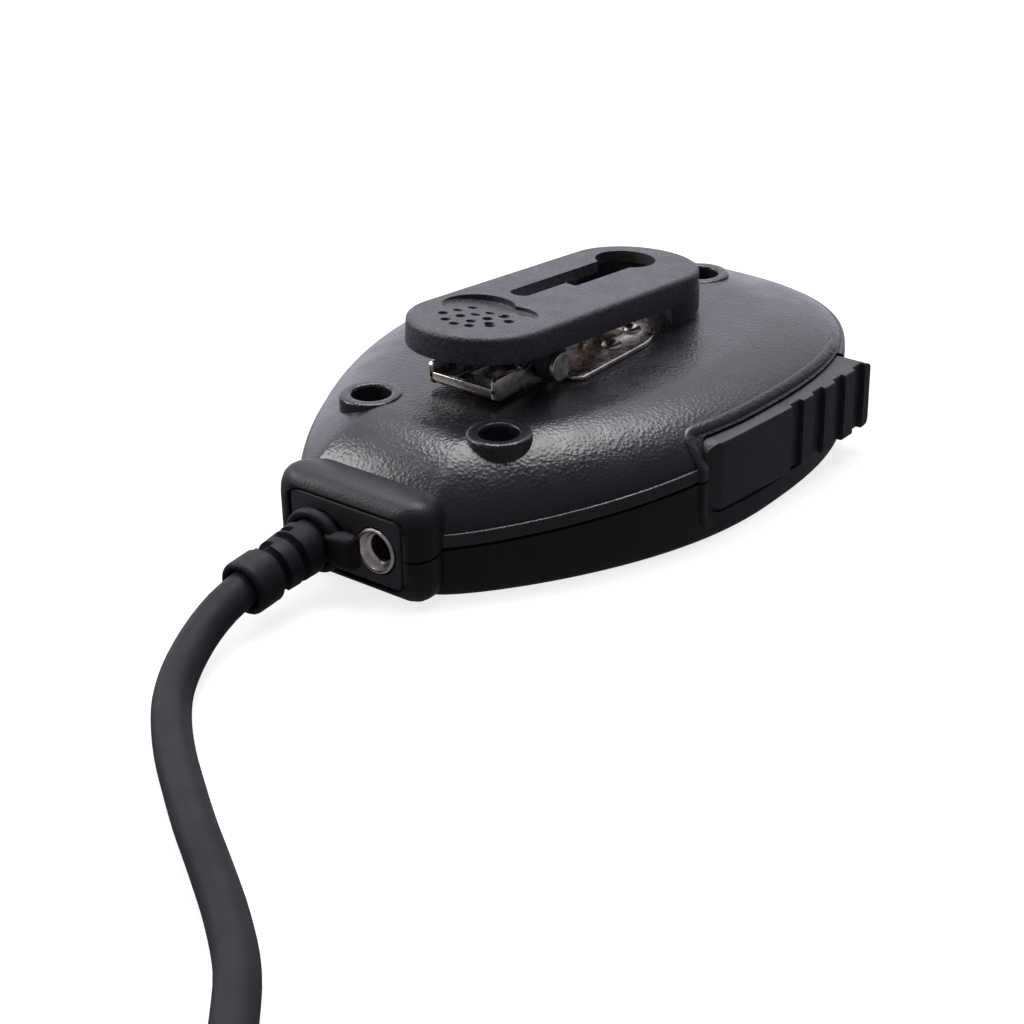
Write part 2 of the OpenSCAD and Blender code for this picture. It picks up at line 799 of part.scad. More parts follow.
module plug_boot() {
    color("#161618") at_plug() translate([0, 0, plug_z]) rotate([0, 90, 0]) difference() {
        cylinder(h = 12.4, r1 = 4.2, r2 = 2.9);
        for (z = [3, 6, 9]) translate([0, 0, z]) difference() {
            cylinder(h = 0.9, r = 6);
            cylinder(h = 0.9, r = 2.5);
        }
    }
}

// Jack plug pin along the plug's Y axis, with its tip, two insulated steps and a root in the plug.
module plug_pin(x, r, length) {
    color("#d6d3ca") {
        translate([x, plug_y1 - 6, plug_z]) rotate([-90, 0, 0]) cylinder(h = 6.2, r = r - pin_root_step);
        translate([x, plug_y1, plug_z]) rotate([-90, 0, 0]) {
            cylinder(h = length - 3, r = r);
            translate([0, 0, length - 3]) cylinder(h = 1.4, r1 = r, r2 = r * 0.6);
            translate([0, 0, length - 1.6]) cylinder(h = 1.6, r1 = r * 0.95, r2 = r * 0.3);
        }
    }
}

module plug_pin_large() {
    at_plug() difference() {
        plug_pin(pin_large_x, pin_large_r, 14);
        insulator_grooves(pin_large_x, pin_large_r, [7.4, 9.6]);
    }
}

module plug_pin_small() {
    at_plug() difference() {
        plug_pin(pin_small_x, pin_small_r, 11);
        insulator_grooves(pin_small_x, pin_small_r, [5.4, 7.2]);
    }
}

module insulator_grooves(x, r, places) {
    for (y = places) translate([x, plug_y1 + y, plug_z]) rotate([-90, 0, 0]) difference() {
        cylinder(h = 0.6, r = r);
        cylinder(h = 0.6, r = r - 0.3);
    }
}

module plug_insulators() {
    color("#0c0c0c") at_plug() {
        insulator_grooves(pin_large_x, pin_large_r, [7.4, 9.6]);
        insulator_grooves(pin_small_x, pin_small_r, [5.4, 7.2]);
    }
}

// ---------- Nodes ----------

rear_shell();
front_shell();
end_plate();
case_screws();
grille_cloth();
talk_key();
key_pin();
key_seal();
switch_body();
switch_plunger();
clip_base();
clip_lever();
clip_pin();
clip_spring();
clip_tongue();
clip_rivet();
clip_washer();
jack_body();
jack_bush();
jack_contacts();
jack_cap();
circuit_board();
board_screws();
audio_chip();
capacitors();
wire_header();
speaker_frame();
speaker_yoke();
speaker_magnet();
speaker_pole();
voice_coil();
speaker_cone();
speaker_dome();
speaker_surround();
speaker_gasket();
speaker_wires();
mic_capsule();
mic_boot();
inner_cord();
cord_clamp();
strain_relief();
lead();
lead_coil();
coil_tie();
lead_tail();
plug_body();
plug_boot();
plug_pin_large();
plug_pin_small();
plug_insulators();
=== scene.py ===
"""Looks for a hand microphone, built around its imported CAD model.

The shells, their collar and end plate, the talk key and its pin, the clip's lever, spring and base, the
jack's ring and cap, the strain relief, the lead, its plug and the coil's tie are rebuilt here at full detail,
in the same places. Every other CAD node keeps its shape and gets a finish. Sizes are in millimetres until a
mesh is made.
"""

import json
from math import asin, cos, pi, radians, sin, sqrt

import bmesh
import bpy
import numpy as np
from mathutils import Matrix, Vector


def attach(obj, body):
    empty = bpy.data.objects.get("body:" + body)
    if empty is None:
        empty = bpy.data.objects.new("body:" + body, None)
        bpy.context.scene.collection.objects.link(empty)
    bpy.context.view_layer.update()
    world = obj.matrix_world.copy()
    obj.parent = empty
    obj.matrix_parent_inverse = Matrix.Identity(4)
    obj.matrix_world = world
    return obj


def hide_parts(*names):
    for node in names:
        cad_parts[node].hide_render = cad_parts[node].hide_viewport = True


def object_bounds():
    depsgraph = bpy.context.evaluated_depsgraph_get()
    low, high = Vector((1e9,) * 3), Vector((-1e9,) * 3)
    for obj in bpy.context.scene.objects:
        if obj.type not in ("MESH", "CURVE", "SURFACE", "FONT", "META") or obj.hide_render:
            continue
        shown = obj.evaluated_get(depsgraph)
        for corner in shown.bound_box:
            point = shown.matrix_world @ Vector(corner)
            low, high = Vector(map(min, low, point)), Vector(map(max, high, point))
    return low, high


MM = 0.001

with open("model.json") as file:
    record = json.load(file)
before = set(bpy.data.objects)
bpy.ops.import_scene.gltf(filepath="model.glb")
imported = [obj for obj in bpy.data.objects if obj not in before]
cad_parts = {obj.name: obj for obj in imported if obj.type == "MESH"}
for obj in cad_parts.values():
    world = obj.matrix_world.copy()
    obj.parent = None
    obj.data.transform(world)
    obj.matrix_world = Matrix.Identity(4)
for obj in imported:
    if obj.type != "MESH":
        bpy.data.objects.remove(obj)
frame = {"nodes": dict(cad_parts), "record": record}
cad_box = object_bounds()
scene = bpy.context.scene
slot_of = {s["node"]: s["material_slot"] for s in frame["record"]["subparts"]}


# ---------- Camera, floor and light ----------

CAMERA_PLACE = (0.164026, -0.218651, 0.130291)
YAW, PITCH, ROLL = -0.66913, 0.46786, -0.02066

camera_data = bpy.data.cameras.new("camera")
camera_data.sensor_width = 36
camera_data.lens = 75.59
camera_data.clip_start = 0.02
camera = bpy.data.objects.new("camera", camera_data)
camera.matrix_world = (
    Matrix.Translation(CAMERA_PLACE)
    @ Matrix.Rotation(-YAW, 4, "Z")
    @ Matrix.Rotation(pi / 2 - PITCH, 4, "X")
    @ Matrix.Rotation(ROLL, 4, "Z")
)
scene.collection.objects.link(camera)
scene.camera = camera
scene.view_settings.view_transform = "Standard"

world = bpy.data.worlds.new("studio")
world.use_nodes = True
scene.world = world


def light_the_room():
    """Soft surround that is bright overhead and behind the object, and dim on the camera's side."""
    nodes, links = world.node_tree.nodes, world.node_tree.links
    direction = nodes.new("ShaderNodeTexCoord").outputs["Generated"]
    facing = nodes.new("ShaderNodeVectorMath")
    facing.operation = "DOT_PRODUCT"
    facing.inputs[1].default_value = Vector((-0.55, 0.62, 0.56)).normalized()
    spread = nodes.new("ShaderNodeMapRange")
    spread.interpolation_type = "SMOOTHSTEP"
    spread.inputs["From Min"].default_value = 0.4
    spread.inputs["From Max"].default_value = 0.85
    spread.inputs["To Min"].default_value = 0.2
    spread.inputs["To Max"].default_value = 1.3
    background = nodes["Background"]
    background.inputs["Color"].default_value = (0.95, 0.94, 1.06, 1)
    links.new(direction, facing.inputs[0])
    links.new(facing.outputs["Value"], spread.inputs["Value"])
    links.new(spread.outputs["Result"], background.inputs["Strength"])


def softbox(name, place, target, width, height, power):
    """Rectangular area light aimed from a place at a target, in metres and watts."""
    data = bpy.data.lights.new(name, "AREA")
    data.shape = "RECTANGLE"
    data.size, data.size_y, data.energy = width, height, power
    box = bpy.data.objects.new(name, data)
    box.location = place
    box.rotation_euler = (Vector(target) - Vector(place)).to_track_quat("-Z", "Y").to_euler()
    scene.collection.objects.link(box)


light_the_room()
softbox("overhead_softbox", (-0.15, 0.25, 0.9), (0, 0, 0), 0.7, 0.5, 9)
softbox("left_softbox", (-0.75, -0.35, 0.55), (0, -0.02, 0), 0.35, 0.5, 5)


def make_floor():
    """White paper that glows enough to stay white, and still takes a faint shadow."""
    mesh = bpy.data.meshes.new("floor")
    reach, z = 3, cad_box[0].z
    corners = [(-reach, -reach, z), (reach, -reach, z), (reach, reach, z), (-reach, reach, z)]
    mesh.from_pydata(corners, [], [(0, 1, 2, 3)])
    floor = bpy.data.objects.new("floor", mesh)
    scene.collection.objects.link(floor)
    paper = bpy.data.materials.new("studio_paper")
    paper.use_nodes = True
    shader = paper.node_tree.nodes["Principled BSDF"]
    shader.inputs["Base Color"].default_value = (0.3, 0.3, 0.3, 1)
    shader.inputs["Roughness"].default_value = 0.9
    shader.inputs["Specular IOR Level"].default_value = 0.1
    shader.inputs["Emission Color"].default_value = (1, 1, 1, 1)
    shader.inputs["Emission Strength"].default_value = 0.8
    mesh.materials.append(paper)
    floor.visible_glossy = False
    floor.visible_diffuse = False


make_floor()


# ---------- Finishes ----------


class Finish:
    """A procedural material: one Principled shader whose colour, roughness and relief come from textures."""

    def __init__(self, name, color, rough, metal=0.0, specular=0.5, coat=0.0, sheen=0.0):
        self.material = bpy.data.materials.new(name)
        self.material.use_nodes = True
        self.nodes = self.material.node_tree.nodes
        self.links = self.material.node_tree.links
        self.shader = self.nodes["Principled BSDF"]
        for socket, value in (
            ("Base Color", (*color, 1)),
            ("Roughness", rough),
            ("Metallic", metal),
            ("Specular IOR Level", specular),
            ("Coat Weight", coat),
            ("Coat Roughness", 0.12),
            ("Sheen Weight", sheen),
        ):
            self.shader.inputs[socket].default_value = value
        self.place = self.nodes.new("ShaderNodeTexCoord").outputs["Object"]
        self.top_bump = None

    def noise(self, size, detail=3.0, stretch=(1, 1, 1)):
        """Cloudy texture with features about size millimetres across, longer along a stretched axis."""
        where = self.nodes.new("ShaderNodeMapping")
        where.inputs["Scale"].default_value = [1 / s for s in stretch]
        texture = self.nodes.new("ShaderNodeTexNoise")
        texture.inputs["Scale"].default_value = 1 / (size * MM)
        texture.inputs["Detail"].default_value = detail
        self.links.new(self.place, where.inputs["Vector"])
        self.links.new(where.outputs["Vector"], texture.inputs["Vector"])
        return texture.outputs["Fac"]

    def pebbles(self, size, softness=0.6):
        """Round cells about size millimetres apart, high in their middles."""
        texture = self.nodes.new("ShaderNodeTexVoronoi")
        texture.feature = "SMOOTH_F1"
        texture.inputs["Scale"].default_value = 1 / (size * MM)
        texture.inputs["Smoothness"].default_value = softness
        self.links.new(self.place, texture.inputs["Vector"])
        return self.ranged(texture.outputs["Distance"], 0.0, 0.75, 1.0, 0.0)

    def weave(self, pitch):
        """Crossed threads pitch millimetres apart."""
        waves = []
        for axis in ("X", "Y"):
            texture = self.nodes.new("ShaderNodeTexWave")
            texture.bands_direction = axis
            texture.inputs["Scale"].default_value = 0.314 / (pitch * MM)
            texture.inputs["Distortion"].default_value = 0.4
            self.links.new(self.place, texture.inputs["Vector"])
            waves.append(texture.outputs["Fac"])
        crossed = self.nodes.new("ShaderNodeMath")
        crossed.operation = "MULTIPLY"
        self.links.new(waves[0], crossed.inputs[0])
        self.links.new(waves[1], crossed.inputs[1])
        return crossed.outputs["Value"]

    def ranged(self, source, low, high, new_low, new_high):
        """The source's values from low to high, eased onto a new range."""
        step = self.nodes.new("ShaderNodeMapRange")
        step.interpolation_type = "SMOOTHSTEP"
        limits = {"From Min": low, "From Max": high, "To Min": new_low, "To Max": new_high}
        for socket, value in limits.items():
            step.inputs[socket].default_value = value
        self.links.new(source, step.inputs["Value"])
        return step.outputs["Result"]

    def color(self, source, dark, light, low=0.35, high=0.65):
        """Base colour from dark to light as the source goes from low to high."""
        ramp = self.nodes.new("ShaderNodeValToRGB")
        for element, position, tone in zip(ramp.color_ramp.elements, (low, high), (dark, light)):
            element.position, element.color = position, (*tone, 1)
        self.links.new(source, ramp.inputs["Fac"])
        self.links.new(ramp.outputs["Color"], self.shader.inputs["Base Color"])
        return self

    def rough(self, source, low, high):
        """Roughness from low to high over the middle of the source's range."""
        self.links.new(self.ranged(source, 0.3, 0.7, low, high), self.shader.inputs["Roughness"])
        return self

    def relief(self, source, height):
        """Adds relief of this height in millimetres on top of what is there."""
        bump = self.nodes.new("ShaderNodeBump")
        bump.inputs["Distance"].default_value = height * MM
        self.links.new(source, bump.inputs["Height"])
        if self.top_bump:
            self.links.new(self.top_bump, bump.inputs["Normal"])
        self.top_bump = bump.outputs["Normal"]
        self.links.new(self.top_bump, self.shader.inputs["Normal"])
        return self


def moulded(name, dark, light, rough_low, rough_high, grain, grain_height, specular=0.5):
    """Moulded plastic or rubber: faint colour drift, uneven gloss and a fine even grain."""
    finish = Finish(name, light, rough_high, specular=specular)
    finish.color(finish.noise(9, 4), dark, light)
    finish.rough(finish.noise(3.5, 5), rough_low, rough_high)
    return finish.relief(finish.noise(grain, 2), grain_height)


def plated(name, dark, light, rough_low, rough_high, stretch=(1, 1, 1)):
    """Plated or drawn metal: slightly wavy, with fine drawing lines and duller patches."""
    finish = Finish(name, light, rough_high, metal=1.0)
    finish.color(finish.noise(2.2, 5), dark, light)
    finish.rough(finish.noise(1.1, 5, stretch), rough_low, rough_high)
    finish.relief(finish.noise(2.8, 1), 0.012)
    return finish.relief(finish.noise(0.25, 3, stretch), 0.005)


def pebbled_casing():
    """Glossy moulded plastic with small round pebbles."""
    finish = Finish("casing_gloss", (0.012, 0.012, 0.0145), 0.3)
    finish.color(finish.noise(14, 4), (0.009, 0.009, 0.0115), (0.0145, 0.0145, 0.018))
    finish.rough(finish.noise(4, 5), 0.25, 0.34)
    finish.relief(finish.pebbles(0.5), 0.03)
    return finish.relief(finish.noise(0.3, 2), 0.012)


def grained_lever():
    """Matt plastic with a coarse spark-eroded grain. Its base colour is painted lighter on the grain's peaks,
    a painted highlight for the light that the peaks catch.
    """
    finish = Finish("lever_grain_and_painted_peak_light", (0.026, 0.026, 0.032), 0.5)
    grain = finish.noise(0.42, 3)
    # Painted highlight: the grain that raises the relief also lightens the base colour on its peaks.
    finish.color(grain, (0.014, 0.014, 0.018), (0.044, 0.044, 0.052), 0.36, 0.64)
    finish.rough(finish.noise(3.5, 5), 0.46, 0.56)
    return finish.relief(grain, 0.14)


def woven(name, dark, light, pitch):
    """Plain cloth with threads pitch millimetres apart."""
    finish = Finish(name, light, 0.9, sheen=0.3)
    thread = finish.weave(pitch)
    finish.color(thread, dark, light, 0.1, 0.8)
    return finish.relief(thread, 0.12)


def solder_mask():
    """Green circuit board with slightly raised tracks."""
    finish = Finish("board_mask", (0.01, 0.09, 0.03), 0.35, coat=0.3)
    tracks = finish.noise(1.6, 1, (4, 1, 1))
    finish.color(tracks, (0.006, 0.06, 0.022), (0.02, 0.15, 0.06), 0.48, 0.52)
    return finish.relief(tracks, 0.02)


FINISHES = {
    "casing": pebbled_casing(),
    "casing_front": moulded("casing_satin", (0.008, 0.008, 0.0105), (0.0125, 0.0125, 0.016),
                            0.4, 0.5, 0.42, 0.045, 0.3),
    "end_plate": moulded("plate_satin", (0.016, 0.016, 0.0195), (0.024, 0.024, 0.0285),
                         0.46, 0.56, 0.3, 0.02),
    "key": moulded("key_satin", (0.013, 0.013, 0.016), (0.020, 0.020, 0.0245), 0.46, 0.56, 0.32, 0.05),
    "lever": grained_lever(),
    "nickel": plated("nickel_plate", (0.60, 0.55, 0.51), (0.86, 0.81, 0.77), 0.22, 0.38),
    "spring_steel": plated("spring_wire", (0.40, 0.39, 0.37), (0.62, 0.60, 0.56), 0.22, 0.4),
    "screw_steel": plated("zinc_screw", (0.22, 0.22, 0.23), (0.42, 0.42, 0.43), 0.3, 0.45),
    "contact_brass": plated("contact_bronze", (0.62, 0.48, 0.25), (0.9, 0.78, 0.5), 0.18, 0.3),
    "soft_rubber": moulded("rubber", (0.009, 0.009, 0.0115), (0.0145, 0.0145, 0.018),
                           0.5, 0.62, 0.4, 0.02, 0.16),
    "cord_jacket": moulded("cord_rubber", (0.016, 0.016, 0.0205), (0.022, 0.022, 0.0275),
                           0.5, 0.6, 0.5, 0.008, 0.1),
    "plug_shell": moulded("plug_plastic", (0.011, 0.011, 0.013), (0.017, 0.017, 0.02),
                          0.36, 0.48, 0.3, 0.012),
    "insulator": moulded("insulator_rings", (0.006, 0.006, 0.006), (0.011, 0.011, 0.011),
                         0.25, 0.35, 0.4, 0.003),
    "board": solder_mask(),
    "component": moulded("component_resin", (0.012, 0.012, 0.012), (0.022, 0.022, 0.022),
                         0.5, 0.65, 0.2, 0.01),
    "capacitor": plated("capacitor_can", (0.5, 0.5, 0.52), (0.68, 0.68, 0.7), 0.25, 0.4),
    "header": moulded("header_nylon", (0.66, 0.64, 0.56), (0.78, 0.76, 0.68), 0.4, 0.55, 0.3, 0.008),
    "wire": moulded("wire_pvc", (0.3, 0.014, 0.014), (0.42, 0.025, 0.025), 0.4, 0.5, 0.3, 0.006),
    "plunger": moulded("plunger_plastic", (0.34, 0.035, 0.02), (0.46, 0.055, 0.03), 0.35, 0.5, 0.3, 0.006),
    "frame_steel": plated("speaker_steel", (0.36, 0.36, 0.38), (0.52, 0.52, 0.54), 0.28, 0.42),
    "magnet": moulded("sintered_magnet", (0.06, 0.06, 0.065), (0.11, 0.11, 0.115), 0.45, 0.6, 0.15, 0.015),
    "copper_coil": plated("coil_enamel", (0.42, 0.17, 0.06), (0.66, 0.32, 0.14), 0.2, 0.35, (1, 1, 0.1)),
    "cone_paper": moulded("cone_paper", (0.022, 0.022, 0.02), (0.045, 0.045, 0.042), 0.75, 0.9, 0.5, 0.03),
    "felt": woven("black_cloth", (0.004, 0.004, 0.004), (0.02, 0.02, 0.02), 0.35),
    "mic_can": plated("microphone_can", (0.5, 0.51, 0.53), (0.68, 0.69, 0.71), 0.25, 0.38),
}


# ---------- Mesh helpers ----------


def build(name, points, faces):
    """New object from points in millimetres, with its faces turned outwards."""
    mesh = bpy.data.meshes.new(name)
    mesh.from_pydata([tuple(MM * float(c) for c in p) for p in points], [], faces)
    work = bmesh.new()
    work.from_mesh(mesh)
    bmesh.ops.recalc_face_normals(work, faces=work.faces)
    work.to_mesh(mesh)
    work.free()
    obj = bpy.data.objects.new(name, mesh)
    scene.collection.objects.link(obj)
    return obj


def loft(name, rings, looped=False):
    """Skin through rings of equal length, capped at both ends, or closed on itself."""
    count, size = len(rings), len(rings[0])
    points = [p for ring in rings for p in ring]
    faces = []
    for j in range(count if looped else count - 1):
        a, b = j * size, (j + 1) % count * size
        faces += [(a + i, a + (i + 1) % size, b + (i + 1) % size, b + i) for i in range(size)]
    if not looped:
        faces += [tuple(range(size)), tuple(range((count - 1) * size, count * size))]
    return build(name, points, faces)


def prism(name, outline, axis, low, high):
    """Solid with this flat outline, between two heights along an axis (0, 1 or 2)."""
    return loft(name, [[lifted(p, axis, h) for p in outline] for h in (low, high)])


def lifted(flat, axis, height):
    """Point with the two flat coordinates in the remaining axes' order."""
    point = list(flat)
    point.insert(axis, height)
    return tuple(point)


def moved(ring, matrix):
    """The ring's points put through a matrix."""
    return [tuple(matrix @ Vector(p)) for p in ring]


def circle(r, steps=64, center=(0, 0)):
    turns = [2 * pi * i / steps for i in range(steps)]
    return [(center[0] + r * cos(a), center[1] + r * sin(a)) for a in turns]


def rounded(w, h, r, center=(0, 0), steps=8):
    """Rectangle with round corners."""
    corners = ((w / 2 - r, h / 2 - r, 0), (r - w / 2, h / 2 - r, 90),
               (r - w / 2, r - h / 2, 180), (w / 2 - r, r - h / 2, 270))
    points = []
    for cx, cy, start in corners:
        for i in range(steps + 1):
            a = radians(start + 90 * i / steps)
            points.append((center[0] + cx + r * cos(a), center[1] + cy + r * sin(a)))
    return points


def lathe(name, profile, matrix, steps=96):
    """Closed ring of revolution about the matrix's Z axis, from a closed profile of (radius, height)."""
    rings = [[(x, y, z) for x, y in circle(r, steps)] for r, z in profile]
    return loft(name, [moved(ring, matrix) for ring in rings], looped=True)


def smooth_route(points, step):
    """Catmull-Rom curve through points, sampled about step millimetres apart."""
    points = np.array(points, float)
    padded = [2 * points[0] - points[1], *points, 2 * points[-1] - points[-2]]
    route = []
    for a, b, c, d in zip(padded, padded[1:], padded[2:], padded[3:]):
        count = max(1, round(float(np.linalg.norm(c - b)) / step))
        for t in np.arange(count) / count:
            route.append(0.5 * (2 * b + (c - a) * t + (2 * a - 5 * b + 4 * c - d) * t * t
                                + (3 * b - a - 3 * c + d) * t**3))
    return [*route, points[-1]]


def tube(name, route, radius, sides=24):
    """Round bar along a route, with frames carried from each point to the next so that it never twists."""
    route = [Vector(p) for p in route]
    last = len(route) - 1
    rings, side = [], None
    for i, point in enumerate(route):
        ahead = (route[min(i + 1, last)] - route[max(i - 1, 0)]).normalized()
        side = (side - ahead * side.dot(ahead)).normalized() if side else ahead.orthogonal().normalized()
        other = ahead.cross(side)
        rings.append([tuple(point + (side * cos(a) + other * sin(a)) * radius)
                      for a in (2 * pi * k / sides for k in range(sides))])
    return loft(name, rings)


def place_mm(obj, matrix):
    """Moves mesh points by a matrix whose shift is in millimetres."""
    obj.data.transform(Matrix.Scale(MM, 4) @ matrix @ Matrix.Scale(1 / MM, 4))


def applied(obj):
    """Turns the object's modifiers into mesh."""
    graph = bpy.context.evaluated_depsgraph_get()
    mesh = bpy.data.meshes.new_from_object(obj.evaluated_get(graph))
    obj.modifiers.clear()
    obj.data = mesh


def carve(obj, cutter, operation="DIFFERENCE"):
    """Cuts the cutter out of the object, or keeps only what they share."""
    cut = obj.modifiers.new("cut", "BOOLEAN")
    cut.operation, cut.object, cut.solver = operation, cutter, "EXACT"
    applied(obj)
    bpy.data.objects.remove(cutter)


def twin(obj, name):
    """Copy of the object with its own mesh."""
    copy = obj.copy()
    copy.data = obj.data.copy()
    copy.name = name
    scene.collection.objects.link(copy)
    return copy


def joined(name, parts):
    """One object from several meshes, which stay separate shells in it."""
    work = bmesh.new()
    for part in parts:
        work.from_mesh(part.data)
        bpy.data.objects.remove(part)
    mesh = bpy.data.meshes.new(name)
    work.to_mesh(mesh)
    work.free()
    obj = bpy.data.objects.new(name, mesh)
    scene.collection.objects.link(obj)
    return obj


def settle(obj, body, slot, *nodes, sharp=38):
    """Shades the finished piece, gives it its finish and puts it on its body in place of its CAD nodes."""
    obj.data.materials.clear()
    obj.data.materials.append(FINISHES[slot].material)
    obj.data.shade_smooth()
    obj.data.set_sharp_from_angle(angle=radians(sharp))
    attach(obj, body)
    if nodes:
        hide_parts(*nodes)
    return obj


# ---------- Casing ----------

NOSE_Y, FAR_Y, WIDE_Y, HALF_W, NOSE_HALF_W = -41.0, 45.0, 4.0, 31.5, 10.5
NOSE_POWER, FAR_POWER = 0.78, 2.65
MID_Y, HALF_LEN, BODY_H, WALL = 2.0, 43.0, 17.4, 1.6
SEAM_GAP, BAND_H, LEDGE_W, SHOULDER_RUN, SHOULDER_POWER = 0.15, 1.9, 0.6, 11.5, 1.6
SCREWS = ((-10.65, -27.0), (10.65, -27.0), (0.0, 35.0))
KEY_Y, KEY_Z, KEY_GAP = (-8.0, 29.5), (3.6, 13.4), 0.4
KEY_LOW_GAP, COLLAR_Z, GRILLE_Y, GRILLE_R = 0.1, 6.65, 6, 15
JACK_X, JACK_Z, RELIEF_X, RELIEF_Z, PLATE_Y = 5.1, 6.6, -3.6, 6.4, -44.5


def half_width(y):
    """Half of the casing's width at this y."""
    if y < WIDE_Y:
        rise = sin(pi / 2 * max(0, y - NOSE_Y) / (WIDE_Y - NOSE_Y)) ** NOSE_POWER
        return NOSE_HALF_W + (HALF_W - NOSE_HALF_W) * rise
    return HALF_W * max(0, 1 - ((y - WIDE_Y) / (FAR_Y - WIDE_Y)) ** FAR_POWER) ** (1 / FAR_POWER)


def even_outline(count):
    """Closed outline of the casing with evenly spaced points, starting at the right end of the nose."""
    near = [NOSE_Y + (WIDE_Y - NOSE_Y) * (i / 600) ** 1.5 for i in range(600)]
    far = [WIDE_Y + (FAR_Y - WIDE_Y) * sin(pi / 2 * i / 600) ** (2 / FAR_POWER) for i in range(601)]
    side = np.array([(half_width(y), y) for y in near + far])
    along = np.concatenate([[0], np.cumsum(np.linalg.norm(np.diff(side, axis=0), axis=1))])
    places = np.linspace(0, along[-1], count)
    right = np.stack([np.interp(places, along, side[:, 0]), np.interp(places, along, side[:, 1])], 1)
    return np.concatenate([right, (right * (-1, 1))[-2::-1]])


OUTLINE = even_outline(150)


def inset(distance):
    """The outline shrunk towards its middle by about this distance."""
    scale = np.array([1 - distance / HALF_W, 1 - distance / HALF_LEN])
    return (OUTLINE - (0, MID_Y)) * scale + (0, MID_Y)


def seam_z(y):
    """Height of the seam, which climbs a little towards the far end."""
    return 9.6 + 0.07 * y


def seam_ring(distance, height):
    """Inset outline at this height above the seam."""
    return [(x, y, seam_z(y) + height) for x, y in inset(distance)]


def flat_ring(distance, z):
    """Inset outline at one height."""
    return [(x, y, z) for x, y in inset(distance)]


def shoulder_z(y, t):
    """Height of the rounded back, from the band above the seam at t = 0 to the flat top at t = 1."""
    rise = (1 - (1 - t) ** SHOULDER_POWER) ** (1 / SHOULDER_POWER)
    return seam_z(y) + BAND_H + (BODY_H - seam_z(y) - BAND_H) * rise


def shoulder_ring(t, shift):
    """Ring of the rounded back, moved this far into the casing."""
    return [(x, y, shoulder_z(y, t) - shift) for x, y in inset(LEDGE_W + SHOULDER_RUN * t + shift)]


def seam_wedge(sign):
    """Everything above the seam's gap for a sign of 1, and everything below it for -1."""
    gap = sign * SEAM_GAP
    wedge = [(-60, seam_z(-60) + gap), (60, seam_z(60) + gap), (60, sign * 60), (-60, sign * 60)]
    return prism("cutter", wedge, 0, -50, 50)


def collar_cutter():
    """Opening in the shells for the end plate."""
    return prism("cutter", rounded(18.7, 10.0, 1.2, (0, COLLAR_Z)), 1, -46, -36)


def key_cutter():
    """Opening around the talk key, which fits closely along its lower edge."""
    (y0, y1), (z0, z1) = KEY_Y, KEY_Z
    center = ((y0 + y1) / 2, (z0 + z1 + KEY_GAP - KEY_LOW_GAP) / 2)
    outline = rounded(y1 - y0 + 2 * KEY_GAP, z1 - z0 + KEY_GAP + KEY_LOW_GAP, 2.7, center)
    return prism("cutter", outline, 0, 24.6, 40)


def cylinder_cutter(x, y, low, high, r):
    return prism("cutter", circle(r, 64, (x, y)), 2, low, high)


def screw_collar(x, y):
    """Raised ring around a deep screw hole, with soft edges."""
    top = BODY_H + 0.2
    outer = [(4.3, 11.5), (4.25, top - 0.45), (4.16, top - 0.2), (4.0, top - 0.06), (3.75, top)]
    inner = [(3.1, top), (2.82, top - 0.06), (2.66, top - 0.22), (2.6, top - 0.5),
             (2.55, 12.3), (1.5, 12.2), (1.5, 11.5)]
    return lathe("ring", outer + inner, Matrix.Translation((x, y, 0)))


def shell_x(y, z):
    """Where the casing's surface is on the key's side, at this y and height."""
    low, high = 0.0, 12.0
    for _ in range(30):
        d = (low + high) / 2
        top = shoulder_z(y, max(0.0, d - LEDGE_W) / SHOULDER_RUN)
        low, high = (d, high) if top < z else (low, d)
    d = 0.0 if z < seam_z(y) + BAND_H else high
    return half_width((y - MID_Y) / (1 - d / HALF_LEN) + MID_Y) * (1 - d / HALF_W)


def key_frame():
    """Raised strip around the talk key's opening: its top, its cord end and a little of its underside."""
    section = ((-0.95, -0.9), (-0.95, 0.0), (-0.8, 0.6), (-0.5, 0.95), (0, 1),
               (0.5, 0.95), (0.8, 0.6), (0.95, 0.0), (0.95, -0.9))
    line = [(31.2 - 0.8 * i, 14.5) for i in range(49)]
    line += [(-7.2 - 1.8 * sin(a), 12.7 + 1.8 * cos(a)) for a in (radians(15 * i) for i in range(1, 6))]
    line += [(-9.0, 12.4 - 0.8 * i) for i in range(11)]
    line += [(-7.2 - 1.8 * cos(a), 4.2 - 1.8 * sin(a)) for a in (radians(12 * i) for i in range(1, 9))]
    last = len(line) - 1
    rings = []
    for i, (y, z) in enumerate(line):
        slope = min(1, max(0, (z - seam_z(y) - BAND_H) / 1.2)) * radians(48)
        out = Vector((cos(slope), 0, sin(slope)))
        here = Vector((shell_x(y, z), y, z))
        (y0, z0), (y1, z1) = line[max(0, i - 1)], line[min(last, i + 1)]
        side = Vector((shell_x(y1, z1) - shell_x(y0, z0), y1 - y0, z1 - z0)).cross(out).normalized()
        tall = 0.34 * min(1, i / 4, (last - i) / 5) - 0.05
        rings.append([tuple(here + side * (0.86 * w) + out * (tall * h if h > 0 else h))
                      for w, h in section])
    return loft("frame", rings)


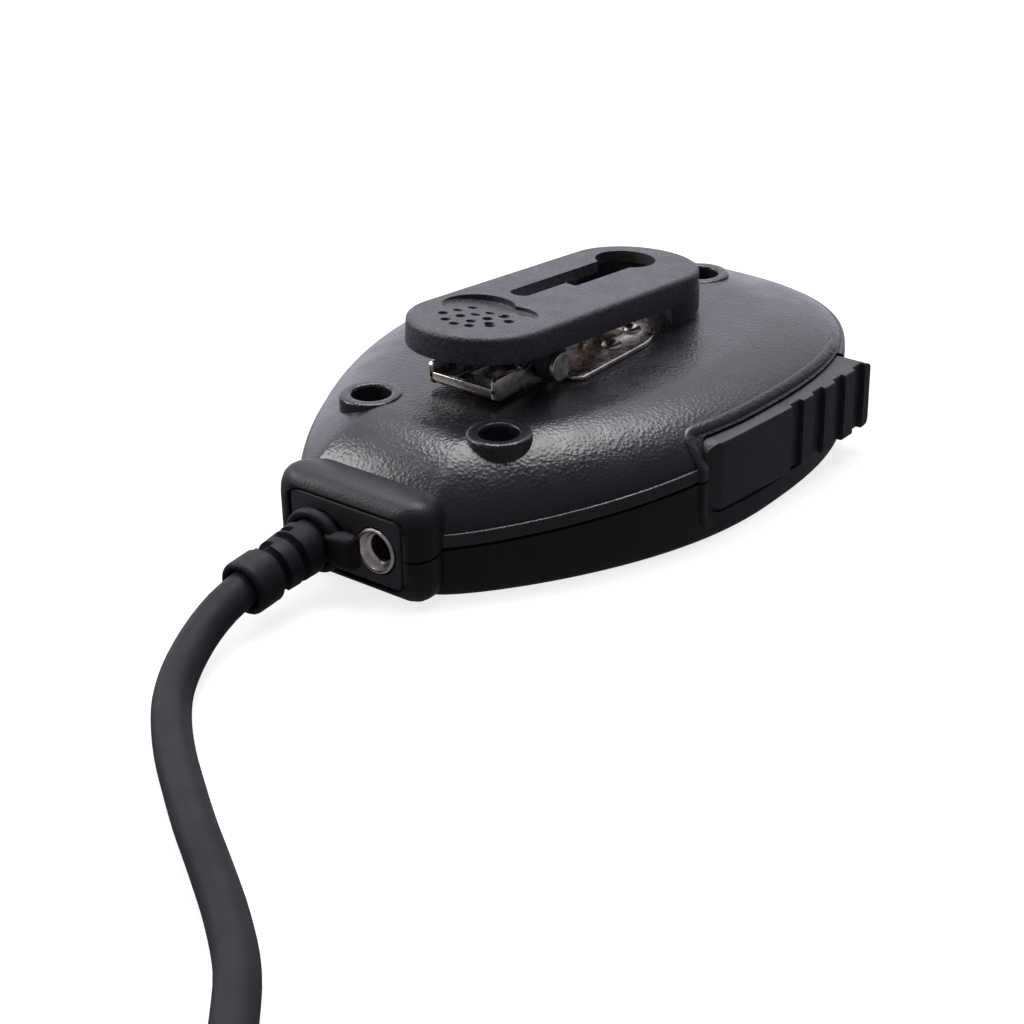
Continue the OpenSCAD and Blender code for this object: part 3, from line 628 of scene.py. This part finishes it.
def make_rear_cover():
    """Back half, with a thin step along the seam, the screw rings and the strip around the key."""
    rows = 30
    outer = [seam_ring(*p) for p in ((0.32, 0.15), (0.1, 0.19), (0.02, 0.3), (0.0, 0.5))]
    outer += [seam_ring(*p) for p in ((0.06, 1.6), (0.1, 1.76), (0.2, 1.87), (0.34, 1.9))]
    outer += [shoulder_ring((i / rows) ** 2, 0) for i in range(rows + 1)]
    inner = [seam_ring(WALL, 0.15)] + [shoulder_ring((i / 10) ** 2, 1.28) for i in range(11)]
    cover = loft("rear_cover", inner[::-1] + outer)
    carve(cover, collar_cutter())
    carve(cover, key_cutter())
    for x, y in SCREWS:
        carve(cover, cylinder_cutter(x, y, 10, 20, 3.2))
    carve(cover, cylinder_cutter(0, 0, 10, 20, 2.05))
    rings = [screw_collar(x, y) for x, y in SCREWS]
    lower = key_frame()
    upper = twin(lower, "frame_upper")
    carve(upper, seam_wedge(1), "INTERSECT")
    carve(lower, seam_wedge(-1), "INTERSECT")
    for piece in (upper, lower):
        carve(piece, key_cutter())
    settle(joined("rear_cover_shell", [cover, *rings, upper]), "casing", "casing", "rear_shell")
    settle(lower, "casing", "casing_front")


def make_front_cover():
    """Front half, with the loudspeaker's slots and the microphone's hole in the face it lies on."""
    inner = [flat_ring(WALL, WALL), seam_ring(WALL, -SEAM_GAP)]
    outer = [seam_ring(*p) for p in ((0.32, -0.15), (0.1, -0.19), (0.02, -0.3), (0.0, -0.5))]
    edge = [(1.2 * (1 - cos(a)), 1.2 * (1 - sin(a))) for a in (radians(90 * i / 8) for i in range(9))]
    outer += [flat_ring(d, z) for d, z in edge]
    cover = loft("front_cover", inner + outer)
    carve(cover, collar_cutter())
    carve(cover, key_cutter())
    for i in range(7):
        y = (i - 3) * 4
        length = 2 * sqrt(GRILLE_R**2 - y * y)
        carve(cover, prism("cutter", rounded(length, 1.8, 0.89, (0, GRILLE_Y + y)), 2, -1, 3))
    carve(cover, cylinder_cutter(-12.5, -18.5, -1, 3, 0.8))
    settle(cover, "casing", "casing_front", "front_shell")


def collar_section(y, half_w, z0, z1, r):
    """Rounded rectangle across the casing at this y, between two heights."""
    return [(x, y, z) for x, z in rounded(2 * half_w, z1 - z0, r, (0, (z0 + z1) / 2), 12)]


def make_collar():
    """Rounded frame at the cord end, which both shells share along the seam."""
    outside = ((-36.5, 10.6, 0.5, 12.4), (-38.6, 11.3, 0.25, 13.0), (-40, 11.85, 0.05, 13.4),
               (-41.2, 12.25, 0, 13.6), (-42.2, 12.3, 0, 13.62), (-43.0, 12.15, 0.05, 13.5),
               (-43.7, 11.8, 0.3, 13.2), (-44.3, 11.3, 0.75, 12.75), (-44.75, 10.7, 1.2, 12.2),
               (-45, 10.1, 1.6, 11.75))
    mouth = ((-45, 9.65, 5.3, 1.5), (-44.9, 9.42, 5.07, 1.3), (-44.7, 9.35, 5.0, 1.2), (-40, 9.35, 5.0, 1.2))
    rings = [collar_section(y, w, z0, z1, 3.0) for y, w, z0, z1 in outside]
    rings += [collar_section(y, w, COLLAR_Z - h, COLLAR_Z + h, r) for y, w, h, r in mouth]
    collar = loft("collar", rings, looped=True)
    for name, sign in (("collar_upper", 1), ("collar_lower", -1)):
        piece = twin(collar, name)
        carve(piece, seam_wedge(sign), "INTERSECT")
        settle(piece, "casing", "casing_front", sharp=50)
    bpy.data.objects.remove(collar)


def make_end_plate():
    """Plate in the collar's mouth, with the holes for the jack and the strain relief."""
    rings = []
    for y, shrink in ((-42.5, 0.1), (-44.5, 0.1), (-44.72, 0.14), (-44.84, 0.24), (-44.88, 0.4)):
        outline = rounded(18.4 - 2 * shrink, 9.7 - 2 * shrink, 1.1 - shrink, (0, COLLAR_Z), 10)
        rings.append([(x, y, z) for x, z in outline])
    plate = loft("plate", rings)
    carve(plate, prism("cutter", circle(3.25, 64, (JACK_X, JACK_Z)), 1, -46, -44.1))
    carve(plate, prism("cutter", circle(2.65, 64, (JACK_X, JACK_Z)), 1, -46, -40))
    carve(plate, prism("cutter", circle(3.3, 64, (RELIEF_X, RELIEF_Z)), 1, -46, -40))
    settle(plate, "casing", "end_plate", "end_plate")


make_rear_cover()
make_front_cover()
make_collar()
make_end_plate()


# ---------- Talk key ----------

KEY_FACE = ((-8.0, 30.2), (-2.0, 30.9), (4.0, 31.45), (10.0, 31.9), (18.0, 32.3), (29.5, 32.45))
GROOVE_ENDS = [11.7 + 5.2 * i for i in range(4)]
GROOVE_W, GROOVE_DEPTH = 2.6, 0.7
KEY_BACK_X, KEY_PIN = 27.3, (28.2, -6)


def groove(y):
    """How far the face stands back at this y: each groove deepens gently and ends in a steep step."""
    for end in GROOVE_ENDS:
        start = end - GROOVE_W
        if start < y <= end:
            return GROOVE_DEPTH * min(1, (y - start) / 0.5)
    return 0.0


def fillet(distance, width, depth):
    """How far a surface drops at a distance from its edge, for an elliptical edge."""
    if distance >= width:
        return 0.0
    return depth * (1 - sqrt(max(0.0, 1 - (1 - distance / width) ** 2)))


def make_talk_key():
    """Grid of the key's outer face, closed at the back and trimmed to a rounded outline."""
    ys = {round(y, 3) for y in np.arange(KEY_Y[0], KEY_Y[1] + 0.01, 0.375)}
    for end in GROOVE_ENDS:
        ys |= {end - GROOVE_W, end - GROOVE_W + 0.5, end, end + 0.09}
    ys |= {KEY_Y[0] + d for d in (0.1, 0.2, 0.55)} | {KEY_Y[1] - d for d in (0.05, 0.12, 0.25)}
    zs = sorted({round(z, 3) for z in np.linspace(KEY_Z[0], KEY_Z[1], 22)}
                | {KEY_Z[1] - d for d in (0.06, 0.14, 0.26)} | {KEY_Z[0] + d for d in (0.06, 0.14, 0.3)})
    ys = sorted(ys)
    front, back = [], []
    for y in ys:
        face = float(np.interp(y, *zip(*KEY_FACE))) - groove(y)
        for z in zs:
            drop = (1.15 * max(0, 1 - (y - KEY_Y[0]) / 2.3) + fillet(KEY_Y[1] - y, 0.9, 0.7)
                    + fillet(KEY_Z[1] - z, 0.4, 0.32) + fillet(z - KEY_Z[0], 0.4, 0.32))
            front.append((face - drop, y, z))
            back.append((KEY_BACK_X, y, z))
    rows, cols = len(ys), len(zs)
    size = rows * cols
    faces = []
    for i in range(rows - 1):
        for j in range(cols - 1):
            a = i * cols + j
            faces.append((a, a + 1, a + cols + 1, a + cols))
    faces += [tuple(size + v for v in face) for face in faces]
    rim = ([i * cols for i in range(rows)] + [(rows - 1) * cols + j for j in range(1, cols)]
           + [i * cols + cols - 1 for i in range(rows - 2, -1, -1)] + list(range(cols - 2, 0, -1)))
    faces += [(a, b, b + size, a + size) for a, b in zip(rim, rim[1:] + rim[:1])]
    key = build("talk_key_cap", front + back, faces)
    outline = rounded(KEY_Y[1] - KEY_Y[0], KEY_Z[1] - KEY_Z[0], 2.3, (sum(KEY_Y) / 2, sum(KEY_Z) / 2), 12)
    carve(key, prism("cutter", outline, 0, 20, 40), "INTERSECT")
    settle(key, "key", "key", "talk_key", sharp=24)


def make_key_pin():
    """Upright pin that the key turns on, inside the casing."""
    pin = loft("key_pin_rod", [[(x, y, z) for x, y in circle(r, 32, KEY_PIN)]
                               for r, z in ((0.55, 1.8), (0.7, 1.95), (0.7, 13.0), (0.55, 13.15))])
    settle(pin, "casing", slot_of["key_pin"], "key_pin")


make_talk_key()
make_key_pin()


# ---------- Clip ----------

LEVER = Matrix.Translation((0, 0, 26)) @ Matrix.Rotation(radians(-5.4), 4, "X")
LEVER_LEN, LEVER_W, SKIRT_H, TOP_T, LEVER_WALL = 53.6, 19.2, 3.7, 1.6, 1.5
LEVER_END_Y = (LEVER_LEN - LEVER_W) / 2
PIN_Y, PIN_Z = -11.1, 20.4
SPRING_R, SPRING_HALF_W, SPRING_TURNS, SPRING_END = 1.7, 2.6, 4, 67
BASE_HALF_W, BASE_FAR_Y = 9.7, 5.8
SCOOP_X, SCOOP_Y, SCOOP_R, SCOOP_LEVEL_Y, SCOOP_DEPTH = -2.9, -13.8, 4.9, -19.2, 1.1


def lever_section(distance, z):
    """Stadium this far inside the lever's outline."""
    r = LEVER_W / 2 - distance
    far = [(r * cos(a), LEVER_END_Y + r * sin(a), z) for a in np.linspace(0, pi, 64)]
    return far + [(-x, -y, z) for x, y, _ in far]


def keyhole_outline():
    """Narrow slot with a round end, which widens in a step and ends in a round hole."""
    x0, x1, wide = -4.0, -0.7, 1.0
    hole, r = (-1.9, 18.4), 4.3
    slot_r, mid = (x1 - x0) / 2, (x0 + x1) / 2
    points = [(mid + slot_r * cos(a), -5 + slot_r * sin(a)) for a in (pi + pi * i / 16 for i in range(17))]
    points += [(x1, 0), (x1, 2.45), (x1 + 0.15, 2.6), (wide - 0.2, 2.6), (wide, 2.8), (wide, 10)]
    start = -asin(sqrt(r * r - (wide - hole[0]) ** 2) / r)
    end = pi + asin(sqrt(r * r - (x0 - hole[0]) ** 2) / r)
    points += [(hole[0] + r * cos(a), hole[1] + r * sin(a)) for a in np.linspace(start, end, 40)]
    return points + [(x0, 10), (x0, 3)]


def scoop_floor(y):
    """Height of the lever's top in the scoop, level near the lever's end and deeper towards its middle."""
    return min(0.0, -SCOOP_DEPTH * (y - SCOOP_LEVEL_Y) / (SCOOP_Y + SCOOP_R - SCOOP_LEVEL_Y))


def scoop_cutter(x, y, r, level_y, depth):
    """Round scoop, deepest at its far side, whose flat floor comes up to the surface at level_y."""
    def ring(radius, lift):
        slope = depth / (y + r - level_y)
        return [(px, py, lift - slope * (py - level_y)) for px, py in circle(radius, 72, (x, y))]

    return loft("cutter", [ring(r - 0.3, 0), ring(r, 0.3), [(px, py, 4) for px, py, _ in ring(r, 0)]])


def dimple_places():
    """A fan of five bent columns."""
    for column, count in enumerate((3, 4, 5, 3, 1)):
        off = column - 2
        for row in range(count):
            x = -4.1 + 1.95 * column + row * (0.1 + 0.4 * column)
            yield x, -22.2 + 0.62 * off * off + row * (2.3 + 0.17 * off * off)


def dimple_cutter(x, y):
    """Round pit with steep sides and soft edges."""
    z = scoop_floor(y)
    rings = ((0.3, -0.7), (0.5, -0.6), (0.62, -0.3), (0.68, 0.0), (0.8, 0.5))
    return loft("cutter", [[(px, py, z + h) for px, py in circle(r, 28, (x, y))] for r, h in rings])


def hook_wall():
    """Curved jaw under the lever's far end."""
    r = LEVER_W / 2
    start = asin(-3.2 / r)
    section = [(r - d, z) for d, z in ((0.3, 17.95), (0.05, 18.05), (0.0, 18.3), (0, 21.6),
                                       (1.5, 21.6), (1.5, 18.3), (1.4, 18.05), (1.1, 17.95))]
    turns = np.linspace(start, pi - start, 48)
    return loft("hook", [[(s * cos(a), LEVER_END_Y + s * sin(a), z) for s, z in section] for a in turns])


def lug(x):
    """Ear under the lever that the hinge pin goes through."""
    outline = [(PIN_Y + 2.1 * cos(a), PIN_Z + 2.1 * sin(a)) for a in np.linspace(-pi, 0, 24)]
    outline += [(PIN_Y + 2.1, 25.4), (PIN_Y - 2.1, 25.6)]
    ear = prism("lug", outline, 0, x, x + 1.9)
    carve(ear, prism("cutter", circle(1.05, 48, (PIN_Y, PIN_Z)), 0, x - 1, x + 3))
    return ear


def make_lever():
    """Hollow lever in its own axes, tilted into place with its hook and its ears."""
    inner = [(LEVER_WALL, -TOP_T), (LEVER_WALL, 0.15 - SKIRT_H), (LEVER_WALL - 0.12, -SKIRT_H)]
    outer = [(0.16, -SKIRT_H), (0.04, 0.08 - SKIRT_H), (0.0, 0.25 - SKIRT_H), (0.0, -0.72), (0.03, -0.52),
             (0.11, -0.34), (0.24, -0.19), (0.41, -0.07), (0.6, -0.015), (0.85, 0.0)]
    lever = loft("lever", [lever_section(*p) for p in inner + outer])
    carve(lever, scoop_cutter(SCOOP_X, SCOOP_Y, SCOOP_R, SCOOP_LEVEL_Y, SCOOP_DEPTH))
    carve(lever, scoop_cutter(2.4, -14.6, 4.1, -13.6, 0.8))
    for x, y in dimple_places():
        carve(lever, dimple_cutter(x, y))
    carve(lever, prism("cutter", keyhole_outline(), 2, -3, 1))
    place_mm(lever, LEVER)
    piece = joined("clip_lever_body", [lever, hook_wall(), lug(-7.8), lug(5.9)])
    settle(piece, "clip_lever", "lever", "clip_lever", sharp=32)


def make_spring():
    """Torsion spring: a coil around the pin, with one arm on the plate and the other under the lever."""
    sweep = radians(SPRING_END + 360 * SPRING_TURNS + 90)
    count = 150
    coil = []
    for i in range(count + 1):
        a = sweep * i / count - pi / 2
        x = -SPRING_HALF_W + 2 * SPRING_HALF_W * i / count
        coil.append((x, PIN_Y + SPRING_R * cos(a), PIN_Z + SPRING_R * sin(a)))
    route = [(-SPRING_HALF_W, -19.6, 19.25), *coil, (SPRING_HALF_W, -19.4, 25.6)]
    spring = tube("clip_spring_wire", route, 0.35, 12)
    settle(spring, "clip_base", "spring_steel", "clip_spring", sharp=60)


def sheet_edge(obj, width):
    """Small round on every edge of a pressed part."""
    edge = obj.modifiers.new("edge", "BEVEL")
    edge.width, edge.segments, edge.limit_method, edge.angle_limit = width * MM, 3, "ANGLE", radians(40)
    applied(obj)


def side_plate(x):
    """Side of the thumb channel, with the ear that carries the pin."""
    outline = [(-21.2, 18.4), (-20.6, 18.05), (-8, 18.0), (-8.6, 19.2)]
    outline += [(PIN_Y + 2.1 * cos(a), PIN_Z + 2.1 * sin(a)) for a in np.linspace(0, radians(150), 14)]
    outline += [(-14.6, 20.6), (-16.6, 21.0), (-17.2, 21.2), (-20.8, 21.2), (-21.2, 20.8)]
    plate = prism("side", outline, 0, x, x + 0.8)
    carve(plate, prism("cutter", circle(1.02, 40, (PIN_Y, PIN_Z)), 0, x - 1, x + 2))
    sheet_edge(plate, 0.14)
    return plate


def thumb_floor():
    """Floor of the thumb channel, bent up into a low lip at the lever's end."""
    arc = [radians(10 * i) for i in range(10)]
    outside = [(-20.0 - 1.2 * sin(a), 19.2 - 1.2 * cos(a)) for a in arc]
    inside = [(-20.0 - 0.4 * sin(a), 19.2 - 0.4 * cos(a)) for a in reversed(arc)]
    section = [(-8, 18.0), *outside, (-21.2, 19.85), (-20.4, 19.85), *inside, (-8, 18.8)]
    floor = prism("floor_sheet", section, 0, -5.5, 5.5)
    carve(floor, prism("cutter", rounded(8.4, 8.4, 0.8, (0, -12.4)), 2, 16, 20))
    sheet_edge(floor, 0.14)
    return floor


def oval_plate():
    """Oval sheet under the clip, pressed with small cups beside its middle."""
    outline = [(BASE_HALF_W * cos(a), BASE_FAR_Y + BASE_HALF_W * sin(a)) for a in np.linspace(0, pi, 48)]
    outline += [(-BASE_HALF_W, -7.4), (-BASE_HALF_W + 1.2, -8.6),
                (BASE_HALF_W - 1.2, -8.6), (BASE_HALF_W, -7.4)]
    sheet = prism("oval", outline, 2, 17.42, 18.1)
    carve(sheet, cylinder_cutter(0, 0, 16, 20, 2.0))
    sheet_edge(sheet, 0.2)
    cup = [(1.45, 18.1), (1.4, 18.25), (1.15, 18.5), (0.95, 18.58),
           (0.75, 18.5), (0.6, 18.28), (0.3, 18.18), (0.05, 18.1)]
    places = [(side * x, y, 0) for x, y in ((5.2, 9.6), (6.4, 3.4)) for side in (-1, 1)]
    return [sheet, *(lathe("cup", cup, Matrix.Translation(place), 48) for place in places)]


def make_clip_base():
    base = joined("clip_base_pressing", [side_plate(-5.6), side_plate(4.8), thumb_floor(), *oval_plate()])
    settle(base, "clip_base", "nickel", "clip_base", sharp=40)


make_lever()
make_spring()
make_clip_base()


# ---------- Strain relief and jack cap ----------

RELIEF = Matrix.Translation((RELIEF_X, PLATE_Y, RELIEF_Z)) @ Matrix.Rotation(radians(90 + 5.4), 4, "X")
RELIEF_LEN = 15.4


def hump(value, center, width):
    """One at the center, falling to nought at half the width each side."""
    return max(0.0, 1 - (2 * abs(value - center) / width) ** 4)


def relief_radius(s, angle):
    """Tapered sleeve with a thicker mouth and staggered flex slots, half of them on each side."""
    base = 3.8 - 0.55 * min(s, 11) / 11 - 0.5 * min(1, max(0, (4.2 - s) / 0.4))
    if s > 11.2:
        base += 0.32 * min(1, (s - 11.2) / 0.35)
    base -= fillet(RELIEF_LEN - s, 0.6, 0.5)
    side = cos(angle - radians(200))
    cut = 0.0
    for center, sign in ((5.7, 1), (7.2, -1), (9.5, 1), (10.4, -1)):
        cut = max(cut, hump(s, center, 1.1) * min(1, max(0, (sign * side + 0.35) / 0.2)))
    return base - 0.95 * cut


def make_relief():
    """Ribbed sleeve that holds the lead, open at its mouth."""
    steps = 96
    stations = sorted({*np.arange(0.4, 15.0, 0.14), 11.2, 11.55, 15.1, 15.25, 15.35, RELIEF_LEN})
    turns = [2 * pi * i / steps for i in range(steps)]

    def ring(s, radius=None):
        """Ring at s along the sleeve, of the sleeve's own radius or of this one."""
        radii = [radius or relief_radius(s, a) for a in turns]
        return [(r * cos(a), r * sin(a), s) for r, a in zip(radii, turns)]

    rings = [ring(-3.5, 3.0), ring(0.35, 3.0), *map(ring, stations)]
    rings += [ring(RELIEF_LEN - 0.15, 2.75), ring(RELIEF_LEN - 0.9, 2.45)]
    relief = loft("strain_relief_sleeve", [moved(ring, RELIEF) for ring in rings])
    settle(relief, "casing", "soft_rubber", "strain_relief")


def make_cap():
    """Rubber cap pulled off the jack: a soft ring around the relief with its stub towards the jack."""
    band = [(3.32, 1.5), (3.5, 1.3), (4.1, 1.28), (4.36, 1.5), (4.42, 2.0),
            (4.36, 2.55), (4.1, 2.78), (3.5, 2.76), (3.32, 2.55)]
    ring = lathe("ring", band, RELIEF)
    sections = ((-1.4, 1.9, 3.4), (-0.6, 2.1, 3.9), (0.4, 2.3, 4.4), (1.3, 2.4, 4.8), (2.6, 2.4, 4.8),
                (3.1, 2.2, 4.6), (3.4, 1.8, 4.2), (3.5, 1.2, 3.6))
    rings = []
    for x, w, h in sections:
        rings.append([(x, y, z) for y, z in rounded(w, h, 0.42 * w, (-46.8, RELIEF_Z), 10)])
    stub = loft("stub", rings)
    settle(joined("jack_cap_strap", [ring, stub]), "cap", "soft_rubber", "jack_cap", sharp=50)


def make_jack_ring():
    """Nickel ring of the jack, with a funnel mouth."""
    funnel = [(2.6, -2.0), (2.6, -0.1), (2.95, -0.05), (3.05, 0.1), (3.05, 0.42), (2.95, 0.6), (2.76, 0.68),
              (2.58, 0.62), (2.45, 0.35), (2.2, -0.3), (2.05, -0.6), (1.85, -0.75), (1.82, -1.2),
              (1.82, -4.0), (2.6, -4.0)]
    axis = Matrix.Translation((JACK_X, PLATE_Y, JACK_Z)) @ Matrix.Rotation(pi / 2, 4, "X")
    settle(lathe("jack_ring", funnel, axis), "casing", "nickel", "jack_bush")


make_relief()
make_cap()
make_jack_ring()


# ---------- Lead and plug ----------

LEAD_D = 4.6
LEAD_START = [(-3.6, -60.1, 4.9), (-3.2, -63.5, 4.4), (-2.2, -67.5, 3.7), (-0.6, -71.5, 3.1),
              (1.6, -75.6, 2.6), (4.6, -79.7, 2.3), (8.7, -83.8, 2.3), (13.2, -87.6, 2.3), (17.8, -91, 2.3),
              (24, -95.4, 2.3), (31, -100, 2.3), (38, -104.8, 2.3), (44.4, -110, 2.3), (49.9, -116.2, 2.3),
              (55, -122.2, 2.3), (60, -128.2, 2.3), (65.1, -134.3, 2.3), (70.1, -140.3, 2.5)]
LEAD_END = [(53, -135.8, 7.7), (58.1, -136.2, 8.6), (63, -137.5, 9.9), (67.7, -139.6, 11.4),
            (71.1, -141.8, 12.5), (75, -145.9, 14), (77.6, -151.2, 14.8), (78.4, -156.6, 14.95)]
COIL_X, COIL_Y, COIL_R, COIL_START, COIL_TURNS = 53.0, -165.0, 29.0, radians(40.2), 3.8333
COIL_Z, TIE_ANGLE = 2.8, radians(215)
PLUG = Matrix.Translation((78.4, -169.2, 9.75)) @ Matrix.Rotation(pi / 2, 4, "Z")


def coil_route():
    """Half of the turns run inwards on the floor and the rest run outwards on top, a diameter apart."""
    points = []
    steps = 154
    for i in range(steps + 1):
        turn = COIL_TURNS * i / steps
        r = COIL_R - LEAD_D * min(turn, COIL_TURNS - turn)
        lift = min(1, max(0, (turn - COIL_TURNS / 2 + 0.1) / 0.2))
        a = COIL_START - 2 * pi * turn
        z = COIL_Z + LEAD_D * lift * lift * (3 - 2 * lift)
        points.append((COIL_X + r * cos(a), COIL_Y + r * sin(a), z))
    return points


def make_plug():
    """Moulded plug body with grip grooves and holes for its pins, and its ribbed boot."""
    stations = [(-6.6, 0.9), (-6.4, 0.5), (-5.9, 0.15), (-5.2, 0.0)]
    for y in (-4.0, -2.4, -0.8, 0.8):
        stations += [(y, 0.0), (y + 0.2, 0.3), (y + 0.6, 0.3), (y + 0.8, 0.0)]
    stations += [(6.0, 0.0), (6.5, 0.1), (6.8, 0.3), (7.0, 0.7)]
    rings = []
    for y, d in stations:
        rings.append([(x, y, z) for x, z in rounded(24 - 2 * d, 10.6 - 2 * d, 2.6 - d, (-12, 5.3))])
    body = loft("plug_body_shell", rings)
    for x, r in ((-6, 1.3), (-17.2, 0.8)):
        carve(body, prism("cutter", circle(r, 48, (x, 5.2)), 1, 0.9, 8))
    place_mm(body, PLUG)
    settle(body, "casing", "plug_shell", "plug_body")
    profile = [(2.0, -0.5), (4.2, -0.4)]
    for i in range(5):
        s = 1.4 + 2.2 * i
        r = 4.2 - 1.3 * s / 12.4
        profile += [(r, s), (r - 0.12, s + 0.1), (r - 0.75, s + 0.25),
                    (r - 0.8, s + 0.75), (r - 0.1, s + 1.0)]
    profile += [(2.95, 11.9), (2.8, 12.3), (2.5, 12.4), (2.35, 12.2), (2.0, 12.0)]
    axis = PLUG @ Matrix.Translation((0, 0, 5.2)) @ Matrix.Rotation(pi / 2, 4, "Y")
    boot = settle(lathe("plug_boot_sleeve", profile, axis, 64), "casing", "soft_rubber", "plug_boot")
    return body, boot


def make_lead():
    """The lead from inside the relief to the plug, and the path of its middle from the relief's mouth."""
    start, end = RELIEF @ Vector((0, 0, RELIEF_LEN)), PLUG @ Vector((0.2, 0, 5.2))
    coil = coil_route()
    route = smooth_route([tuple(start), *LEAD_START, coil[0]], 2)[:-1]
    route += smooth_route([*coil, LEAD_END[0]], 4)[:-1]
    route += smooth_route([*LEAD_END, tuple(end)], 2)
    root = RELIEF @ Vector((0, 0, RELIEF_LEN - 3))
    cord = tube("lead_cord", [tuple(root), *route], LEAD_D / 2)
    settle(cord, "casing", "cord_jacket", "lead", "lead_coil", "lead_tail", sharp=60)
    return cord, [[MM * float(c) for c in p] for p in route]


def make_coil_tie():
    """Fabric band drawn tight around the coil's turns, with soft edges."""
    turns = [(TIE_ANGLE - COIL_START) / (-2 * pi) + k for k in range(1, 5)]
    centers = [(COIL_R - LEAD_D * min(t, COIL_TURNS - t), COIL_Z + LEAD_D * (t > COIL_TURNS / 2))
               for t in turns]
    section = ((-4.0, 0.1), (-3.9, 0.35), (-3.6, 0.45), (3.6, 0.45),
               (3.9, 0.35), (4.0, 0.1), (3.8, 0.0), (-3.8, 0.0))
    rings = []
    for turn in np.linspace(0, 2 * pi, 96, endpoint=False):
        across, up = cos(turn), sin(turn)
        r, z = max(centers, key=lambda c: c[0] * across + c[1] * up)
        ring = []
        for along, lift in section:
            reach = r + across * (LEAD_D / 2 + lift)
            a = TIE_ANGLE + along / COIL_R
            ring.append((COIL_X + reach * cos(a), COIL_Y + reach * sin(a), z + up * (LEAD_D / 2 + lift)))
        rings.append(ring)
    band = loft("coil_tie_band", rings, looped=True)
    return settle(band, "casing", slot_of["coil_tie"], "coil_tie", sharp=60)


plug_body, plug_boot = make_plug()
lead, lead_path = make_lead()
coil_tie = make_coil_tie()


# ---------- CAD nodes that keep their shape ----------


def soften(obj, width):
    """Rounds the node's own edges in the picture without changing its mesh."""
    weld = obj.modifiers.new("weld", "WELD")
    weld.merge_threshold = 1e-6
    flat = obj.modifiers.new("flat", "DECIMATE")
    flat.decimate_type, flat.angle_limit = "DISSOLVE", radians(3)
    bevel = obj.modifiers.new("bevel", "BEVEL")
    bevel.width, bevel.segments, bevel.limit_method, bevel.angle_limit = width * MM, 2, "ANGLE", radians(40)
    bevel.harden_normals = True


SOFT_EDGES = {"clip_tongue": 0.1, "clip_pin": 0.15, "case_screws": 0.1}

for node, obj in frame["nodes"].items():
    if obj.hide_render:
        continue
    obj.data.materials.clear()
    obj.data.materials.append(FINISHES[slot_of[node]].material)
    if node in SOFT_EDGES:
        soften(obj, SOFT_EDGES[node])
